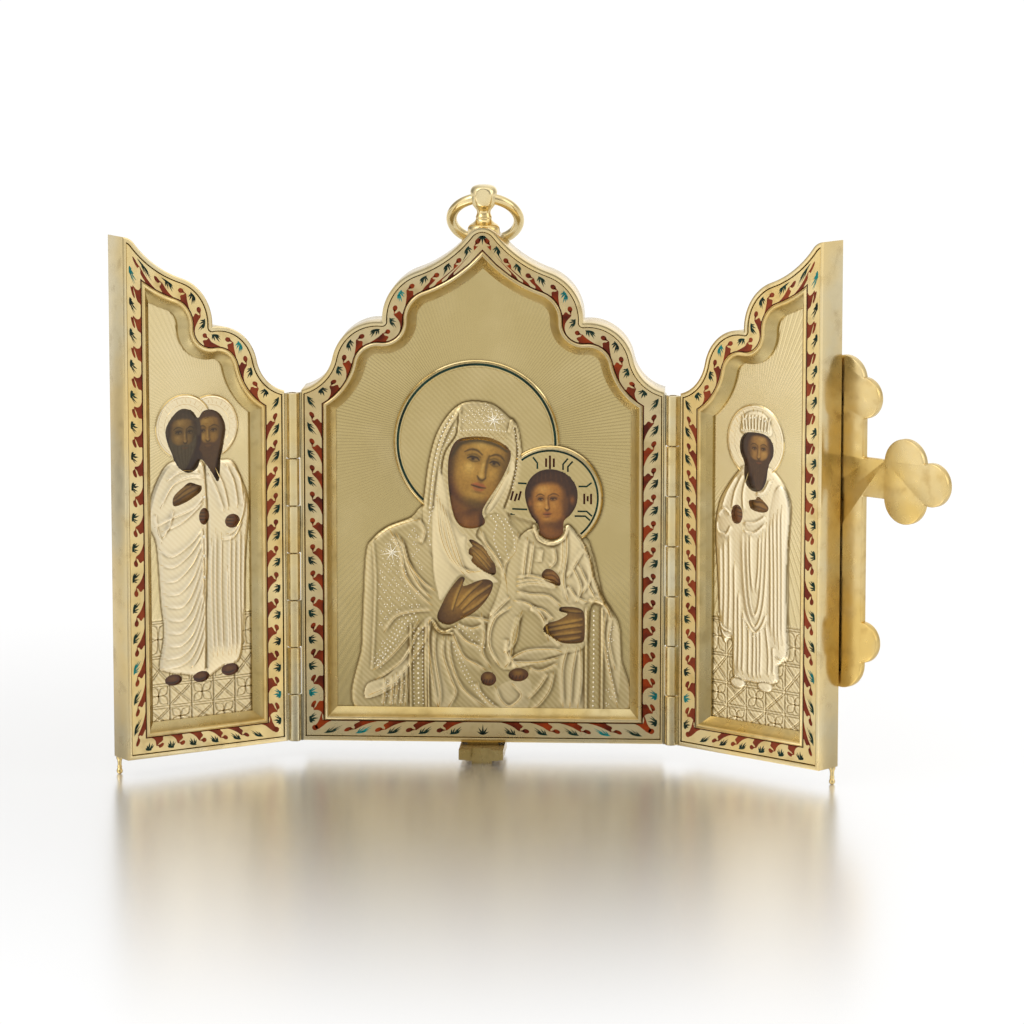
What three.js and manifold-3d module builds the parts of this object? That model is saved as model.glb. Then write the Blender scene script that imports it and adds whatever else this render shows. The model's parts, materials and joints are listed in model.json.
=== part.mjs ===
// A travelling triptych icon of silver gilt and enamel: a centre panel with an ogee top, two hinged
// wings that close over it, a cross on the right wing, a finial with a swinging ring, and a clasp.
// Millimetres, +Z up. The front face of the centre panel is the plane y = 0 and the viewer is at -Y.
// The origin is on the underside of the clasp, on which the triptych stands.
import * as THREE from "three";
import { mergeVertices } from "three/addons/utils/BufferGeometryUtils.js";
import Module from "manifold-3d";

const wasm = await Module();
wasm.setup();

// ---- driving dimensions ----

const CASE_BASE = 3.7; // height of the cases' lower edge over the floor
const HALF_WIDTH = 37.34; // half width of the centre case
const CASE_DEPTH = 10;
const WING_DEPTH = 6.4;
const RIM = 0.9; // thickness of the case walls
const THIN_SIDE = 0.48; // how much thinner the straight side walls are at the front
const BACK_WALL = 1.2;
const PLAY = 0.05; // gap between pieces that touch
const CUT_GAP = 0.15; // gap where one piece is cut to the shape of another

// The ogee outline, as arcs from the shoulder up to the apex, in the right half of a panel.
const CORNICE = { x: 39.48, z: 82.04, r: 8.72 }; // concave, over the hinge
const LOBE = { x: 21.66, z: 78.37, r: 9.47 }; // convex
const SHOULDER = { x: 10.12, z: 88.23, r: 10.55 }; // convex
const FLARE_RADIUS = 24; // concave, up to the apex
const FLARE_START = THREE.MathUtils.degToRad(70.5); // where the shoulder turns into the flare
const TIP_RADIUS = 3.6; // rounds the apex
const CORNICE_STEPS = 4;
const LOBE_STEPS = 6;
const NOTCH_STEPS = 2;
const SHOULDER_STEPS = 4;
const FLARE_STEPS = 3;
const TIP_STEPS = 2;

// The enamelled frame, measured inwards from the case's outline and back from its front edge.
const BAND_OUTSIDE = RIM + 0.15;
const BAND_INSIDE = 4.4;
const LIP_WIDTH = 0.75;
const BEVEL_WIDTH = 1.75;
const BAND_SETBACK = 0.25;
const LIP_TOP = 0.05;
const BEVEL_FOOT = 2.15;
const FRAME_BACK = 2.6;
const SIGHT_INSET = BAND_INSIDE + LIP_WIDTH + BEVEL_WIDTH; // the opening in which the relief shows

const RELIEF_BACK = FRAME_BACK + PLAY + 0.5; // the embossed plate is half a millimetre thick
const RELIEF_GROUND = FRAME_BACK + PLAY; // its ground lies against the frame's back
const INNER_INSET = RIM + 0.2; // outline of the plates inside the case

const BARREL_RADIUS = 1.36;
const BORE_RADIUS = 0.74;
const PIN_RADIUS = 0.6;
const LEAF_THICKNESS = 0.35;
const LEAF_DEPTH = 4;
const LEAF_OFFSET = 1.42; // from the hinge axis to the leaf's near face
const HINGE = { x: HALF_WIDTH + PLAY + LEAF_THICKNESS + LEAF_OFFSET, y: -0.2, height: 73 };
const KNUCKLE_GAP = 0.15;
const KNUCKLES = 7;
const WEB_DEPTH = 0.8; // the lip that joins a knuckle to its leaf
const PIN_END = 0.1; // how far the pin stays inside the barrel
const TALL_KNUCKLE = 13.6; // the top knuckle of the left hinge

const WING_ANGLE = { left: 35.7, right: 39.3 }; // turned forward from the plane of the centre, degrees
const FREE_EDGE = 0.15; // half the gap between the closed wings
const FIGURE_SHIFT = { left: 1.3, right: 2 }; // how far the wings' figures stand towards the hinges

const RING = { radius: 6.94, tube: 1.05, tilt: 45 }; // tilt back from hanging straight down, degrees

// The finial is turned: pairs of radius and height over the cases' lower edge.
const FINIAL_EYE = 112.9;
const FINIAL_BORE = 1.65;
const FINIAL_PROFILE = [
  [0, 103.4], [3.3, 103.4], [3.3, 107.4], [3.1, 108.3], [2.4, 109.1], [1.9, 109.7], [1.6, 110.4],
  [1.35, 111.1], [1.5, 111.6], [1.95, 112.3], [2.3, 113.3], [2.5, 114.5], [2.5, 115.1], [2.1, 115.7],
  [1.2, 116.2], [0, 116.3],
];

const PEG = { x: 0.85, depth: 5.3, stem: 0.45, ball: 0.65 };

// The cross, its heights over the cases' lower edge.
const CROSS = {
  thickness: 1.7,
  bevel: 0.3,
  low: 16.3,
  high: 84.1,
  width: 10,
  arm: 59.9,
  armHeight: 7.9,
  reach: 26.4,
};
const END_LOBE = 5;
const SIDE_LOBE = { radius: 4.2, across: 4.7, fromTop: 8.3, fromFoot: 9.8 };
const ARM_LOBES = { tip: 4.4, side: 5, inward: 11, apart: 3.6 };

// ---- solids ----

// A manifold solid from a closed geometry.
function solidOf(geometry) {
  const bare = geometry.clone();
  bare.deleteAttribute("normal");
  bare.deleteAttribute("uv");
  const merged = mergeVertices(bare, 1e-4);
  return new wasm.Manifold(
    new wasm.Mesh({
      numProp: 3,
      vertProperties: merged.attributes.position.array,
      triVerts: new Uint32Array(merged.index.array),
    }),
  );
}

function geometryOf(solid) {
  const mesh = solid.getMesh();
  const geometry = new THREE.BufferGeometry();
  geometry.setAttribute("position", new THREE.BufferAttribute(new Float32Array(mesh.vertProperties), 3));
  geometry.setIndex(new THREE.BufferAttribute(new Uint32Array(mesh.triVerts), 1));
  return geometry;
}

const join = (pieces) => pieces.reduce((whole, piece) => whole.add(piece));

function boxSolid(low, high) {
  const box = new THREE.BoxGeometry(high[0] - low[0], high[1] - low[1], high[2] - low[2]);
  box.translate((low[0] + high[0]) / 2, (low[1] + high[1]) / 2, (low[2] + high[2]) / 2);
  return solidOf(box);
}

// An upright cylinder on the point (x, y), from z = low to z = high.
function postSolid(x, y, radius, low, high, sides) {
  const post = new THREE.CylinderGeometry(radius, radius, high - low, sides);
  post.rotateX(Math.PI / 2);
  post.translate(x, y, (low + high) / 2);
  return solidOf(post);
}

// A picture-plane outline, extruded from y = back forward to y = front. The bevel softens both faces.
function slab(points, front, back, bevel = 0) {
  const slabGeometry = new THREE.ExtrudeGeometry(new THREE.Shape(points), {
    depth: back - front - 2 * bevel,
    bevelEnabled: bevel > 0,
    bevelThickness: bevel,
    bevelSize: bevel,
    bevelOffset: -bevel,
    bevelSegments: 1,
  });
  slabGeometry.rotateX(Math.PI / 2);
  slabGeometry.translate(0, back - bevel, 0);
  return solidOf(slabGeometry);
}

// ---- the ogee outline ----

function arcPoints(arc, radius, from, to, steps) {
  const points = [];
  for (let i = 0; i <= steps; i++) {
    const angle = from + ((to - from) * i) / steps;
    points.push(new THREE.Vector2(arc.x + radius * Math.cos(angle), arc.z + radius * Math.sin(angle)));
  }
  return points;
}

const angleTo = (from, to) => Math.atan2(to.z - from.z, to.x - from.x);

// Where the two convex arcs cross, in a sharp notch.
function notchPoint() {
  const span = Math.hypot(LOBE.x - SHOULDER.x, LOBE.z - SHOULDER.z);
  const along = (SHOULDER.r ** 2 - LOBE.r ** 2 + span ** 2) / (2 * span);
  const across = Math.sqrt(SHOULDER.r ** 2 - along ** 2);
  const ux = (LOBE.x - SHOULDER.x) / span;
  const uz = (LOBE.z - SHOULDER.z) / span;
  return { x: SHOULDER.x + along * ux - across * uz, z: SHOULDER.z + along * uz + across * ux };
}

// The straight sides move in by less than the rest, so that the enamelled band is widest there.
function sideAt(inset) {
  const share = Math.min(inset / RIM, (BAND_INSIDE - inset) / (BAND_INSIDE - RIM));
  return HALF_WIDTH - inset + THIN_SIDE * Math.max(0, share);
}

// The upper right part of a panel's outline, moved in by inset, from the side wall up to x = stop.
function crownPoints(inset, stop) {
  const side = sideAt(inset);
  const corniceRadius = CORNICE.r + inset;
  const corniceStart = Math.PI + Math.acos((CORNICE.x - side) / corniceRadius);
  const turn = angleTo(CORNICE, LOBE);
  const notch = notchPoint();
  const flareCentre = {
    x: SHOULDER.x + (SHOULDER.r + FLARE_RADIUS) * Math.cos(FLARE_START),
    z: SHOULDER.z + (SHOULDER.r + FLARE_RADIUS) * Math.sin(FLARE_START),
  };
  const flareRadius = FLARE_RADIUS + inset;
  const tipReach = FLARE_RADIUS + TIP_RADIUS;
  const tip = { x: 0, z: flareCentre.z - Math.sqrt(tipReach ** 2 - flareCentre.x ** 2) };
  const tipRadius = TIP_RADIUS - inset;
  const tipStart = angleTo(tip, flareCentre);
  const rounded = tipRadius * Math.cos(tipStart) > stop;
  const flareEnd = rounded ? tipStart + Math.PI : Math.PI + Math.acos((flareCentre.x - stop) / flareRadius);
  const flareSteps = rounded ? FLARE_STEPS : FLARE_STEPS + TIP_STEPS;
  const tipPoints = rounded
    ? arcPoints(tip, tipRadius, tipStart, Math.acos(stop / tipRadius), TIP_STEPS).slice(1)
    : [];
  const fullTurn = 2 * Math.PI;
  const lobeEnd = angleTo(LOBE, notch);
  const shoulderStart = angleTo(SHOULDER, notch);
  return [
    ...arcPoints(CORNICE, corniceRadius, corniceStart, turn < 0 ? turn + fullTurn : turn, CORNICE_STEPS),
    ...arcPoints(LOBE, LOBE.r - inset, angleTo(LOBE, CORNICE), lobeEnd, LOBE_STEPS).slice(1),
    ...arcPoints(notch, inset, lobeEnd + Math.PI, shoulderStart + Math.PI, NOTCH_STEPS).slice(1),
    ...arcPoints(SHOULDER, SHOULDER.r - inset, shoulderStart, FLARE_START, SHOULDER_STEPS).slice(1),
    ...arcPoints(flareCentre, flareRadius, FLARE_START + Math.PI, flareEnd, flareSteps).slice(1),
    ...tipPoints,
  ];
}

// The whole outline of the centre panel, anticlockwise.
function centreOutline(inset) {
  const right = crownPoints(inset, 0);
  const left = right.slice(0, -1).reverse();
  return [
    new THREE.Vector2(sideAt(inset), inset),
    ...right,
    ...left.map((point) => new THREE.Vector2(-point.x, point.y)),
    new THREE.Vector2(-sideAt(inset), inset),
  ];
}

// From a distance off the closed triptych's centre line to x in a wing's own frame, whose origin is on
// the hinge axis. The side is -1 for the left wing and 1 for the right.
const wingX = (distance, side) => side * (HINGE.x - distance);

function wingOutline(inset, side) {
  const freeEdge = FREE_EDGE + inset;
  const points = [
    new THREE.Vector2(sideAt(inset), inset),
    ...crownPoints(inset, freeEdge),
    new THREE.Vector2(freeEdge, inset),
  ].map((point) => new THREE.Vector2(wingX(point.x, side), point.y));
  return side > 0 ? points.reverse() : points;
}

// ---- panels ----

// Drops the points that fall on the one before, as a notch of no radius has.
const distinct = (points) => points.filter((point, i) => i === 0 || point.distanceTo(points[i - 1]) > 1e-3);

// A tray with a thin rim and a back, open to the front.
function caseSolid(outline, depth) {
  const tray = slab(distinct(outline(0)), 0, depth);
  return tray.subtract(slab(outline(RIM), -1, depth - BACK_WALL));
}

// The frame in front of the relief: a flat enamelled band, a raised lip and a bevel down to the relief.
function frameSolid(outline) {
  const lipEnd = BAND_INSIDE + LIP_WIDTH;
  const profile = [
    [BAND_OUTSIDE, FRAME_BACK],
    [BAND_OUTSIDE, BAND_SETBACK],
    [BAND_INSIDE, BAND_SETBACK],
    [BAND_INSIDE + LIP_WIDTH * 0.3, LIP_TOP],
    [lipEnd, LIP_TOP + 0.1],
    [SIGHT_INSET, BEVEL_FOOT],
    [SIGHT_INSET, FRAME_BACK],
  ];
  const rings = profile.map(([inset, y]) => outline(inset).map((point) => [point.x, y, point.y]));
  const count = rings[0].length;
  const triangles = [];
  for (let i = 0; i < rings.length; i++) {
    for (let j = 0; j < count; j++) {
      const a = i * count + j;
      const b = i * count + ((j + 1) % count);
      const c = ((i + 1) % rings.length) * count + j;
      const d = ((i + 1) % rings.length) * count + ((j + 1) % count);
      triangles.push(a, b, c, b, d, c);
    }
  }
  const geometry = new THREE.BufferGeometry();
  geometry.setAttribute("position", new THREE.Float32BufferAttribute(rings.flat(2), 3));
  geometry.setIndex(triangles);
  return solidOf(geometry);
}

const panelPlate = (outline, front, back) => slab(outline(INNER_INSET), front, back);

// ---- reliefs ----

// A smooth closed outline through a few points of the picture plane.
function smoothOutline(points, steps) {
  const loop = new THREE.CatmullRomCurve3(
    points.map(([x, z]) => new THREE.Vector3(x, z, 0)),
    true,
  );
  return loop.getPoints(steps).slice(0, -1).map((point) => new THREE.Vector2(point.x, point.y));
}

function discOutline(x, z, radius, steps) {
  return arcPoints({ x, z }, radius, 0, 2 * Math.PI, steps).slice(0, -1);
}

// A form that stands out of the relief's ground by height, with its edge rounded off.
function raised(points, height) {
  const bevel = Math.min(0.35, height * 0.45);
  const form = slab(points, RELIEF_GROUND - height, RELIEF_GROUND + bevel + 0.2, bevel);
  return form.intersect(boxSolid([-60, -10, -10], [60, RELIEF_GROUND + 0.2, 120]));
}

// A drapery fold: a ridge that runs from one picture-plane point to another and is drawn towards a
// third. It stands over the cloth, whose face is at y = surface.
function fold(start, pull, end, surface, radius, steps) {
  const [a, b, c] = [start, pull, end].map(([x, z]) => new THREE.Vector3(x, surface, z));
  const section = new THREE.Shape(discOutline(0, 0, radius, 5));
  const extrudePath = new THREE.QuadraticBezierCurve3(a, b, c);
  return solidOf(new THREE.ExtrudeGeometry(section, { extrudePath, steps, bevelEnabled: false }));
}

// A hole cut through the plate, where the painting behind shows.
const sightHole = (points) => slab(points, -3, RELIEF_BACK + 1);

// The folds of one garment hang side by side and fan out from the shoulder to the hem.
function hangingFolds(top, hem, count, sag, surface, radius) {
  const folds = [];
  for (let i = 0; i < count; i++) {
    const t = count > 1 ? i / (count - 1) : 0.5;
    const high = [top[0][0] + (top[1][0] - top[0][0]) * t, top[0][1] + (top[1][1] - top[0][1]) * t];
    const low = [hem[0][0] + (hem[1][0] - hem[0][0]) * t, hem[0][1] + (hem[1][1] - hem[0][1]) * t];
    const middle = [(high[0] + low[0]) / 2 + 2 * sag * (t - 0.5), (high[1] + low[1]) / 2];
    folds.push(fold(high, middle, low, surface, radius, 2));
  }
  return folds;
}

// Folds that swing from one side of a garment to the other in hanging curves, one under the next.
function swaggedFolds(left, right, drop, sag, count, surface, radius) {
  const folds = [];
  for (let i = 0; i < count; i++) {
    const fall = i * drop;
    const low = [(left[0] + right[0]) / 2, (left[1] + right[1]) / 2 - fall - 2 * sag];
    folds.push(fold([left[0], left[1] - fall], low, [right[0], right[1] - fall], surface, radius, 5));
  }
  return folds;
}

// The mother's half figure with the child on her arm, and both halos.
function centreRelief() {
  const cloth = RELIEF_GROUND - 0.8;
  const childCloth = RELIEF_GROUND - 1.1;
  const motherHalo = raised(discOutline(-1.2, 62.5, 17.3, 30), 0.35);
  const childHalo = raised(discOutline(14.1, 51.6, 10.9, 24), 0.5);
  const motherBody = raised(
    smoothOutline(
      [[-8, 51], [-13.5, 47.5], [-19.5, 44.5], [-24, 40], [-24.8, 26], [-24.6, 8.2], [0, 7.6], [28.4, 8.2],
        [28.6, 24], [25, 31], [18, 40], [7, 48]],
      30,
    ),
    0.8,
  );
  const veil = raised(
    smoothOutline(
      [[0, 71.4], [-6.5, 69.3], [-10.4, 62], [-12.4, 50], [-10, 40], [0, 36], [5.5, 44], [8, 56], [6.6, 66]],
      26,
    ),
    1.05,
  );
  const childBody = raised(
    smoothOutline(
      [[10.6, 45.6], [5, 42], [2, 36], [1, 26], [2.5, 17], [9, 13], [17, 18], [22.5, 28], [23, 38],
        [20.5, 43.6], [17, 45.4]],
      28,
    ),
    1.1,
  );
  const folds = [
    ...hangingFolds([[-21, 40], [-13, 44]], [[-22.5, 9], [-11, 9]], 5, 2, cloth, 0.45),
    ...hangingFolds([[22.5, 27], [26, 26]], [[21.5, 9], [27, 9]], 3, 0.5, cloth, 0.45),
    ...hangingFolds([[-8, 27], [-3, 24]], [[0, 9], [14, 9]], 4, 3, cloth, 0.4),
    ...hangingFolds([[-8.6, 66], [5.8, 66]], [[-6.5, 42], [4.4, 46]], 2, 7, RELIEF_GROUND - 1.05, 0.4),
    ...swaggedFolds([4, 38], [20.5, 37], 4, 4.2, 3, childCloth, 0.4),
    ...swaggedFolds([3.5, 24], [12.5, 25], 3.4, 3, 2, childCloth, 0.4),
  ];
  const holes = [
    smoothOutline(
      [[-6.4, 62.2], [-0.5, 63.4], [5.4, 61.7], [4.6, 56], [0.5, 49.5], [0.4, 46], [-2.5, 44.9], [-5.6, 48],
        [-7, 55.5]],
      20,
    ),
    discOutline(14.1, 51.4, 5.4, 16),
    smoothOutline([[11.8, 48], [16.6, 48], [16.6, 44.2], [14.2, 43], [11.8, 44.2]], 12),
    smoothOutline([[-2.6, 42.6], [1.2, 40.6], [2.6, 37], [2.2, 35.6], [-1, 37.4], [-2.8, 40]], 12),
    smoothOutline(
      [[-9.4, 26.4], [-5.6, 33], [-3.8, 34.4], [1.2, 34], [1.9, 32.6], [-1.6, 27.8], [-6.6, 25.2]],
      16,
    ),
    discOutline(14.1, 35.2, 1.7, 8),
    smoothOutline([[12.9, 24.6], [16.2, 28.5], [20.8, 28.2], [20.9, 21.4], [17.5, 21.4]], 14),
    discOutline(1.2, 13.6, 1.5, 8),
    discOutline(7.4, 14.5, 1.7, 8),
  ];
  return { forms: [motherHalo, childHalo, motherBody, childBody, veil, ...folds], holes };
}

// Two saints side by side on a tiled floor, under joined halos.
function leftWingRelief() {
  const x = (distance) => wingX(distance + FIGURE_SHIFT.left, -1);
  const place = (points) => points.map(([distance, z]) => [x(distance), z]);
  const cloth = RELIEF_GROUND - 0.8;
  const forms = [
    raised(discOutline(x(19.9), 66.9, 7, 18), 0.4),
    raised(discOutline(x(13.9), 67.3, 7, 18), 0.4),
    raised(
      smoothOutline(
        place([[22, 60], [27, 57.5], [29.6, 50], [28.6, 40], [28.6, 22], [26, 18], [11, 17.4], [7.6, 22],
          [7.2, 38], [5.2, 48], [6.2, 56], [9, 60.4]]),
        26,
      ),
      0.8,
    ),
    ...hangingFolds(place([[27.4, 44], [18.5, 46]]), place([[27, 20], [19.5, 18.5]]), 4, 1, cloth, 0.45),
    ...hangingFolds(place([[25.5, 57], [22.5, 57]]), place([[28, 49], [24.5, 50]]), 2, 0, cloth, 0.4),
    ...swaggedFolds([x(17), 47.5], [x(8), 51], 5.2, 4.5, 5, cloth, 0.45),
  ];
  const holes = [
    discOutline(x(20.2), 67.2, 3.6, 12),
    smoothOutline(place([[23.4, 66], [17.6, 65.5], [17.4, 61], [21.4, 56.2], [22.8, 58]]), 14),
    discOutline(x(13.6), 67.5, 4.1, 12),
    smoothOutline(place([[17.4, 66], [9.8, 66], [10.8, 60], [14, 58.6], [17.2, 61.5]]), 14),
    smoothOutline(place([[17.4, 54.8], [15, 56.2], [11.2, 54], [11.1, 51.9], [16, 53.6]]), 12),
    discOutline(x(18.3), 49.2, 1.4, 8),
    discOutline(x(24.8), 47.6, 1.5, 8),
    discOutline(x(24.2), 16.7, 1.4, 8),
    discOutline(x(17.4), 15.9, 1.3, 8),
    discOutline(x(11), 15.8, 1.3, 8),
  ];
  return { forms, holes };
}

// One saint in a cap and a long cape, on a tiled floor.
function rightWingRelief() {
  const x = (distance) => wingX(distance + FIGURE_SHIFT.right, 1);
  const place = (points) => points.map(([distance, z]) => [x(distance), z]);
  const cloth = RELIEF_GROUND - 0.8;
  const forms = [
    raised(discOutline(x(17.4), 65.8, 7.7, 20), 0.4),
    raised(
      smoothOutline(
        place([[12.4, 66.5], [13.8, 69.6], [17, 70.8], [20.2, 69.6], [21.6, 66.5], [17, 65.4]]),
        18,
      ),
      0.9,
    ),
    raised(
      smoothOutline(
        place([[13.6, 60.5], [10, 57], [7.6, 50], [8, 30], [8.8, 22.5], [11.6, 20], [12, 16.6], [23, 16.6],
          [24, 21], [26.4, 24], [27, 40], [28.6, 48], [26.6, 54], [21, 60]]),
        28,
      ),
      0.8,
    ),
    ...hangingFolds(place([[9.6, 50], [12.6, 50]]), place([[9.4, 24], [12.4, 22]]), 3, 0, cloth, 0.45),
    ...hangingFolds(place([[21.6, 46], [26, 44]]), place([[22, 24], [25.8, 26]]), 3, 0, cloth, 0.45),
    ...hangingFolds(place([[13.2, 28], [21.6, 28]]), place([[13.2, 18], [21.6, 18]]), 4, 0, cloth, 0.4),
    ...swaggedFolds([x(13.2), 49], [x(20.4), 47], 5, 4.5, 4, cloth, 0.4),
  ];
  const holes = [
    smoothOutline(
      place([[12.7, 65.2], [14, 66.6], [20.2, 66.6], [21.4, 65], [20.4, 62.6], [19.8, 57.4], [17.2, 55.9],
        [14.6, 57.4], [13.9, 62]]),
      22,
    ),
    smoothOutline(place([[13.5, 52], [16, 54.5], [18.9, 53.4], [18.2, 51.8]]), 12),
    discOutline(x(21.8), 50.5, 1.6, 8),
  ];
  return { forms, holes };
}

function reliefSolid(outline, picture) {
  const plate = panelPlate(outline, RELIEF_GROUND, RELIEF_BACK);
  const sight = slab(outline(SIGHT_INSET + CUT_GAP), -3, RELIEF_BACK);
  const figures = join(picture.forms).intersect(sight);
  return picture.holes.reduce((whole, hole) => whole.subtract(sightHole(hole)), plate.add(figures));
}

// ---- hinges ----

// The heights between which the knuckles lie, from the foot up.
function knuckleEdges(tallTop) {
  const top = tallTop ? TALL_KNUCKLE : HINGE.height / KNUCKLES;
  const step = (HINGE.height - top) / (KNUCKLES - 1);
  return [...Array.from({ length: KNUCKLES }, (_, i) => i * step), HINGE.height];
}

// One leaf, in the hinge's frame: a strip beside the barrel, with every other knuckle. The toward value
// is 1 where the leaf lies on the axis's +X side, and -1 on the other.
function leafSolid(edges, first, toward) {
  const near = LEAF_OFFSET * toward;
  const far = (LEAF_OFFSET + LEAF_THICKNESS) * toward;
  const front = -HINGE.y;
  const strip = boxSolid(
    [Math.min(near, far), front, 0],
    [Math.max(near, far), front + LEAF_DEPTH, HINGE.height],
  );
  const pieces = [strip];
  for (let i = first; i < KNUCKLES; i += 2) {
    const low = edges[i] + (i > 0 ? KNUCKLE_GAP / 2 : 0);
    const high = edges[i + 1] - (i < KNUCKLES - 1 ? KNUCKLE_GAP / 2 : 0);
    const webNear = BARREL_RADIUS * 0.75 * toward;
    const webFar = (LEAF_OFFSET + LEAF_THICKNESS / 2) * toward;
    pieces.push(postSolid(0, 0, BARREL_RADIUS, low, high, 10));
    pieces.push(
      boxSolid([Math.min(webNear, webFar), front, low], [Math.max(webNear, webFar), front + WEB_DEPTH, high]),
    );
  }
  return join(pieces).subtract(postSolid(0, 0, BORE_RADIUS, -1, HINGE.height + 1, 8));
}

// ---- finial, ring, clasp, pegs and cross ----

function finialSolid() {
  const turned = new THREE.LatheGeometry(FINIAL_PROFILE.map((pair) => new THREE.Vector2(...pair)), 14);
  turned.rotateX(Math.PI / 2);
  turned.translate(0, CASE_DEPTH / 2, 0);
  const hole = new THREE.CylinderGeometry(FINIAL_BORE, FINIAL_BORE, 12, 12);
  hole.rotateZ(Math.PI / 2);
  hole.translate(0, CASE_DEPTH / 2, FINIAL_EYE);
  const seat = slab(distinct(centreOutline(-CUT_GAP)), -1, CASE_DEPTH + 1);
  return solidOf(turned).subtract(solidOf(hole)).subtract(seat);
}

function ringGeometry() {
  const torus = new THREE.TorusGeometry(RING.radius, RING.tube, 8, 28);
  torus.translate(0, -RING.radius, 0);
  const bare = torus.clone();
  bare.deleteAttribute("normal");
  bare.deleteAttribute("uv");
  return mergeVertices(bare, 1e-4);
}

// A catch under the case: a block with a notch for the wings' pegs, a moulding, and the foot it stands on.
// Each part is given by half its width, its front and back, and its foot and top.
const CLASP = {
  notch: [2.1, -7, -4.4, 0, CASE_BASE],
  block: [4.6, -6.5, 7, 1.25, CASE_BASE - 0.35],
  neck: [3.2, 0.6, 6.4, CASE_BASE - 0.45, CASE_BASE - PLAY],
  moulding: [3.45, -4.15, 6.2, 0.6, 1.35],
  foot: [2.1, -3.5, 5.5, 0, 0.7],
};

function claspSolid() {
  const bar = ([half, front, back, foot, top]) => boxSolid([-half, front, foot], [half, back, top]);
  const block = bar(CLASP.block).subtract(bar(CLASP.notch));
  return join([block, bar(CLASP.neck), bar(CLASP.moulding), bar(CLASP.foot)]);
}

function pegSolid() {
  const flange = postSolid(0, 0, PEG.ball, CASE_BASE - 0.45, CASE_BASE - PLAY, 8);
  const stem = postSolid(0, 0, PEG.stem, PEG.ball, CASE_BASE - 0.3, 8);
  const ball = new THREE.SphereGeometry(PEG.ball, 8, 6);
  ball.rotateX(Math.PI / 2);
  ball.translate(0, 0, PEG.ball);
  return join([flange, stem, solidOf(ball)]);
}

// A budded cross: straight bars whose ends each carry three round lobes.
function crossSolid() {
  const { thickness, bevel, low, high, arm, width, armHeight, reach } = CROSS;
  const bar = (x0, x1, z0, z1) => {
    const corners = [[x0, z0], [x1, z0], [x1, z1], [x0, z1]].map((pair) => new THREE.Vector2(...pair));
    return slab(corners, 0, thickness, bevel);
  };
  const lobe = (x, z, radius) => slab(discOutline(x, z, radius, 12), 0, thickness, bevel);
  const pieces = [
    bar(-width / 2, width / 2, low + END_LOBE, high - END_LOBE),
    bar(-reach + ARM_LOBES.tip, reach - ARM_LOBES.tip, arm - armHeight / 2, arm + armHeight / 2),
    lobe(0, high - END_LOBE, END_LOBE),
    lobe(0, low + END_LOBE, END_LOBE),
  ];
  for (const side of [-1, 1]) {
    const inner = side * (reach - ARM_LOBES.inward);
    pieces.push(lobe(side * SIDE_LOBE.across, high - SIDE_LOBE.fromTop, SIDE_LOBE.radius));
    pieces.push(lobe(side * SIDE_LOBE.across, low + SIDE_LOBE.fromFoot, SIDE_LOBE.radius));
    pieces.push(lobe(side * (reach - ARM_LOBES.tip), arm, ARM_LOBES.tip));
    pieces.push(lobe(inner, arm + ARM_LOBES.apart, ARM_LOBES.side));
    pieces.push(lobe(inner, arm - ARM_LOBES.apart, ARM_LOBES.side));
  }
  return join(pieces);
}

// ---- assembly ----

function finish(color, metalness, roughness) {
  return new THREE.MeshStandardMaterial({ color, metalness, roughness });
}

const finishes = {
  gilt: finish(0xd9c48a, 1, 0.3),
  relief: finish(0xd2c39a, 1, 0.35),
  enamel: finish(0xa05a34, 0.3, 0.4),
  painting: finish(0x5a3418, 0, 0.5),
  steel: finish(0xb9a878, 1, 0.3),
};

function addPiece(group, name, solid, material) {
  const mesh = new THREE.Mesh(geometryOf(solid), material);
  mesh.name = name;
  group.add(mesh);
  return mesh;
}

// The four nested pieces that each of the three panels has.
function addPanel(group, name, outline, depth, picture) {
  addPiece(group, `${name}_case`, caseSolid(outline, depth), finishes.gilt);
  addPiece(group, `${name}_enamel_frame`, frameSolid(outline), finishes.enamel);
  addPiece(group, `${name}_relief`, reliefSolid(outline, picture), finishes.relief);
  const boardFront = RELIEF_BACK + PLAY;
  const boardBack = depth - BACK_WALL - PLAY;
  addPiece(group, `${name}_painting`, panelPlate(outline, boardFront, boardBack), finishes.painting);
}

function hingeGroup(side) {
  const group = new THREE.Group();
  group.position.set(side * HINGE.x, HINGE.y, CASE_BASE);
  return group;
}

function makeCentre() {
  const centre = new THREE.Group();
  const panel = new THREE.Group();
  panel.position.z = CASE_BASE;
  addPanel(panel, "centre", centreOutline, CASE_DEPTH, centreRelief());
  addPiece(panel, "finial", finialSolid(), finishes.gilt);
  centre.add(panel);
  addPiece(centre, "clasp", claspSolid(), finishes.gilt);
  for (const [side, name] of [[-1, "left"], [1, "right"]]) {
    const hinge = hingeGroup(side);
    addPiece(hinge, `${name}_hinge_centre_leaf`, leafSolid(knuckleEdges(side < 0), 0, -side), finishes.gilt);
    const pin = postSolid(0, 0, PIN_RADIUS, PIN_END, HINGE.height - PIN_END, 8);
    addPiece(hinge, `${name}_hinge_pin`, pin, finishes.steel);
    centre.add(hinge);
  }
  return centre;
}

function makeWing(side, name, picture) {
  const wing = hingeGroup(side);
  wing.rotation.z = -side * THREE.MathUtils.degToRad(side < 0 ? WING_ANGLE.left : WING_ANGLE.right);
  const panel = new THREE.Group();
  panel.position.y = -HINGE.y;
  addPanel(panel, `${name}_wing`, (inset) => wingOutline(inset, side), WING_DEPTH, picture);
  const peg = addPiece(panel, `${name}_wing_peg`, pegSolid(), finishes.gilt);
  peg.position.set(wingX(PEG.x, side), PEG.depth, -CASE_BASE);
  wing.add(panel);
  addPiece(wing, `${name}_hinge_wing_leaf`, leafSolid(knuckleEdges(side < 0), 1, side), finishes.gilt);
  return { wing, panel };
}

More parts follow.
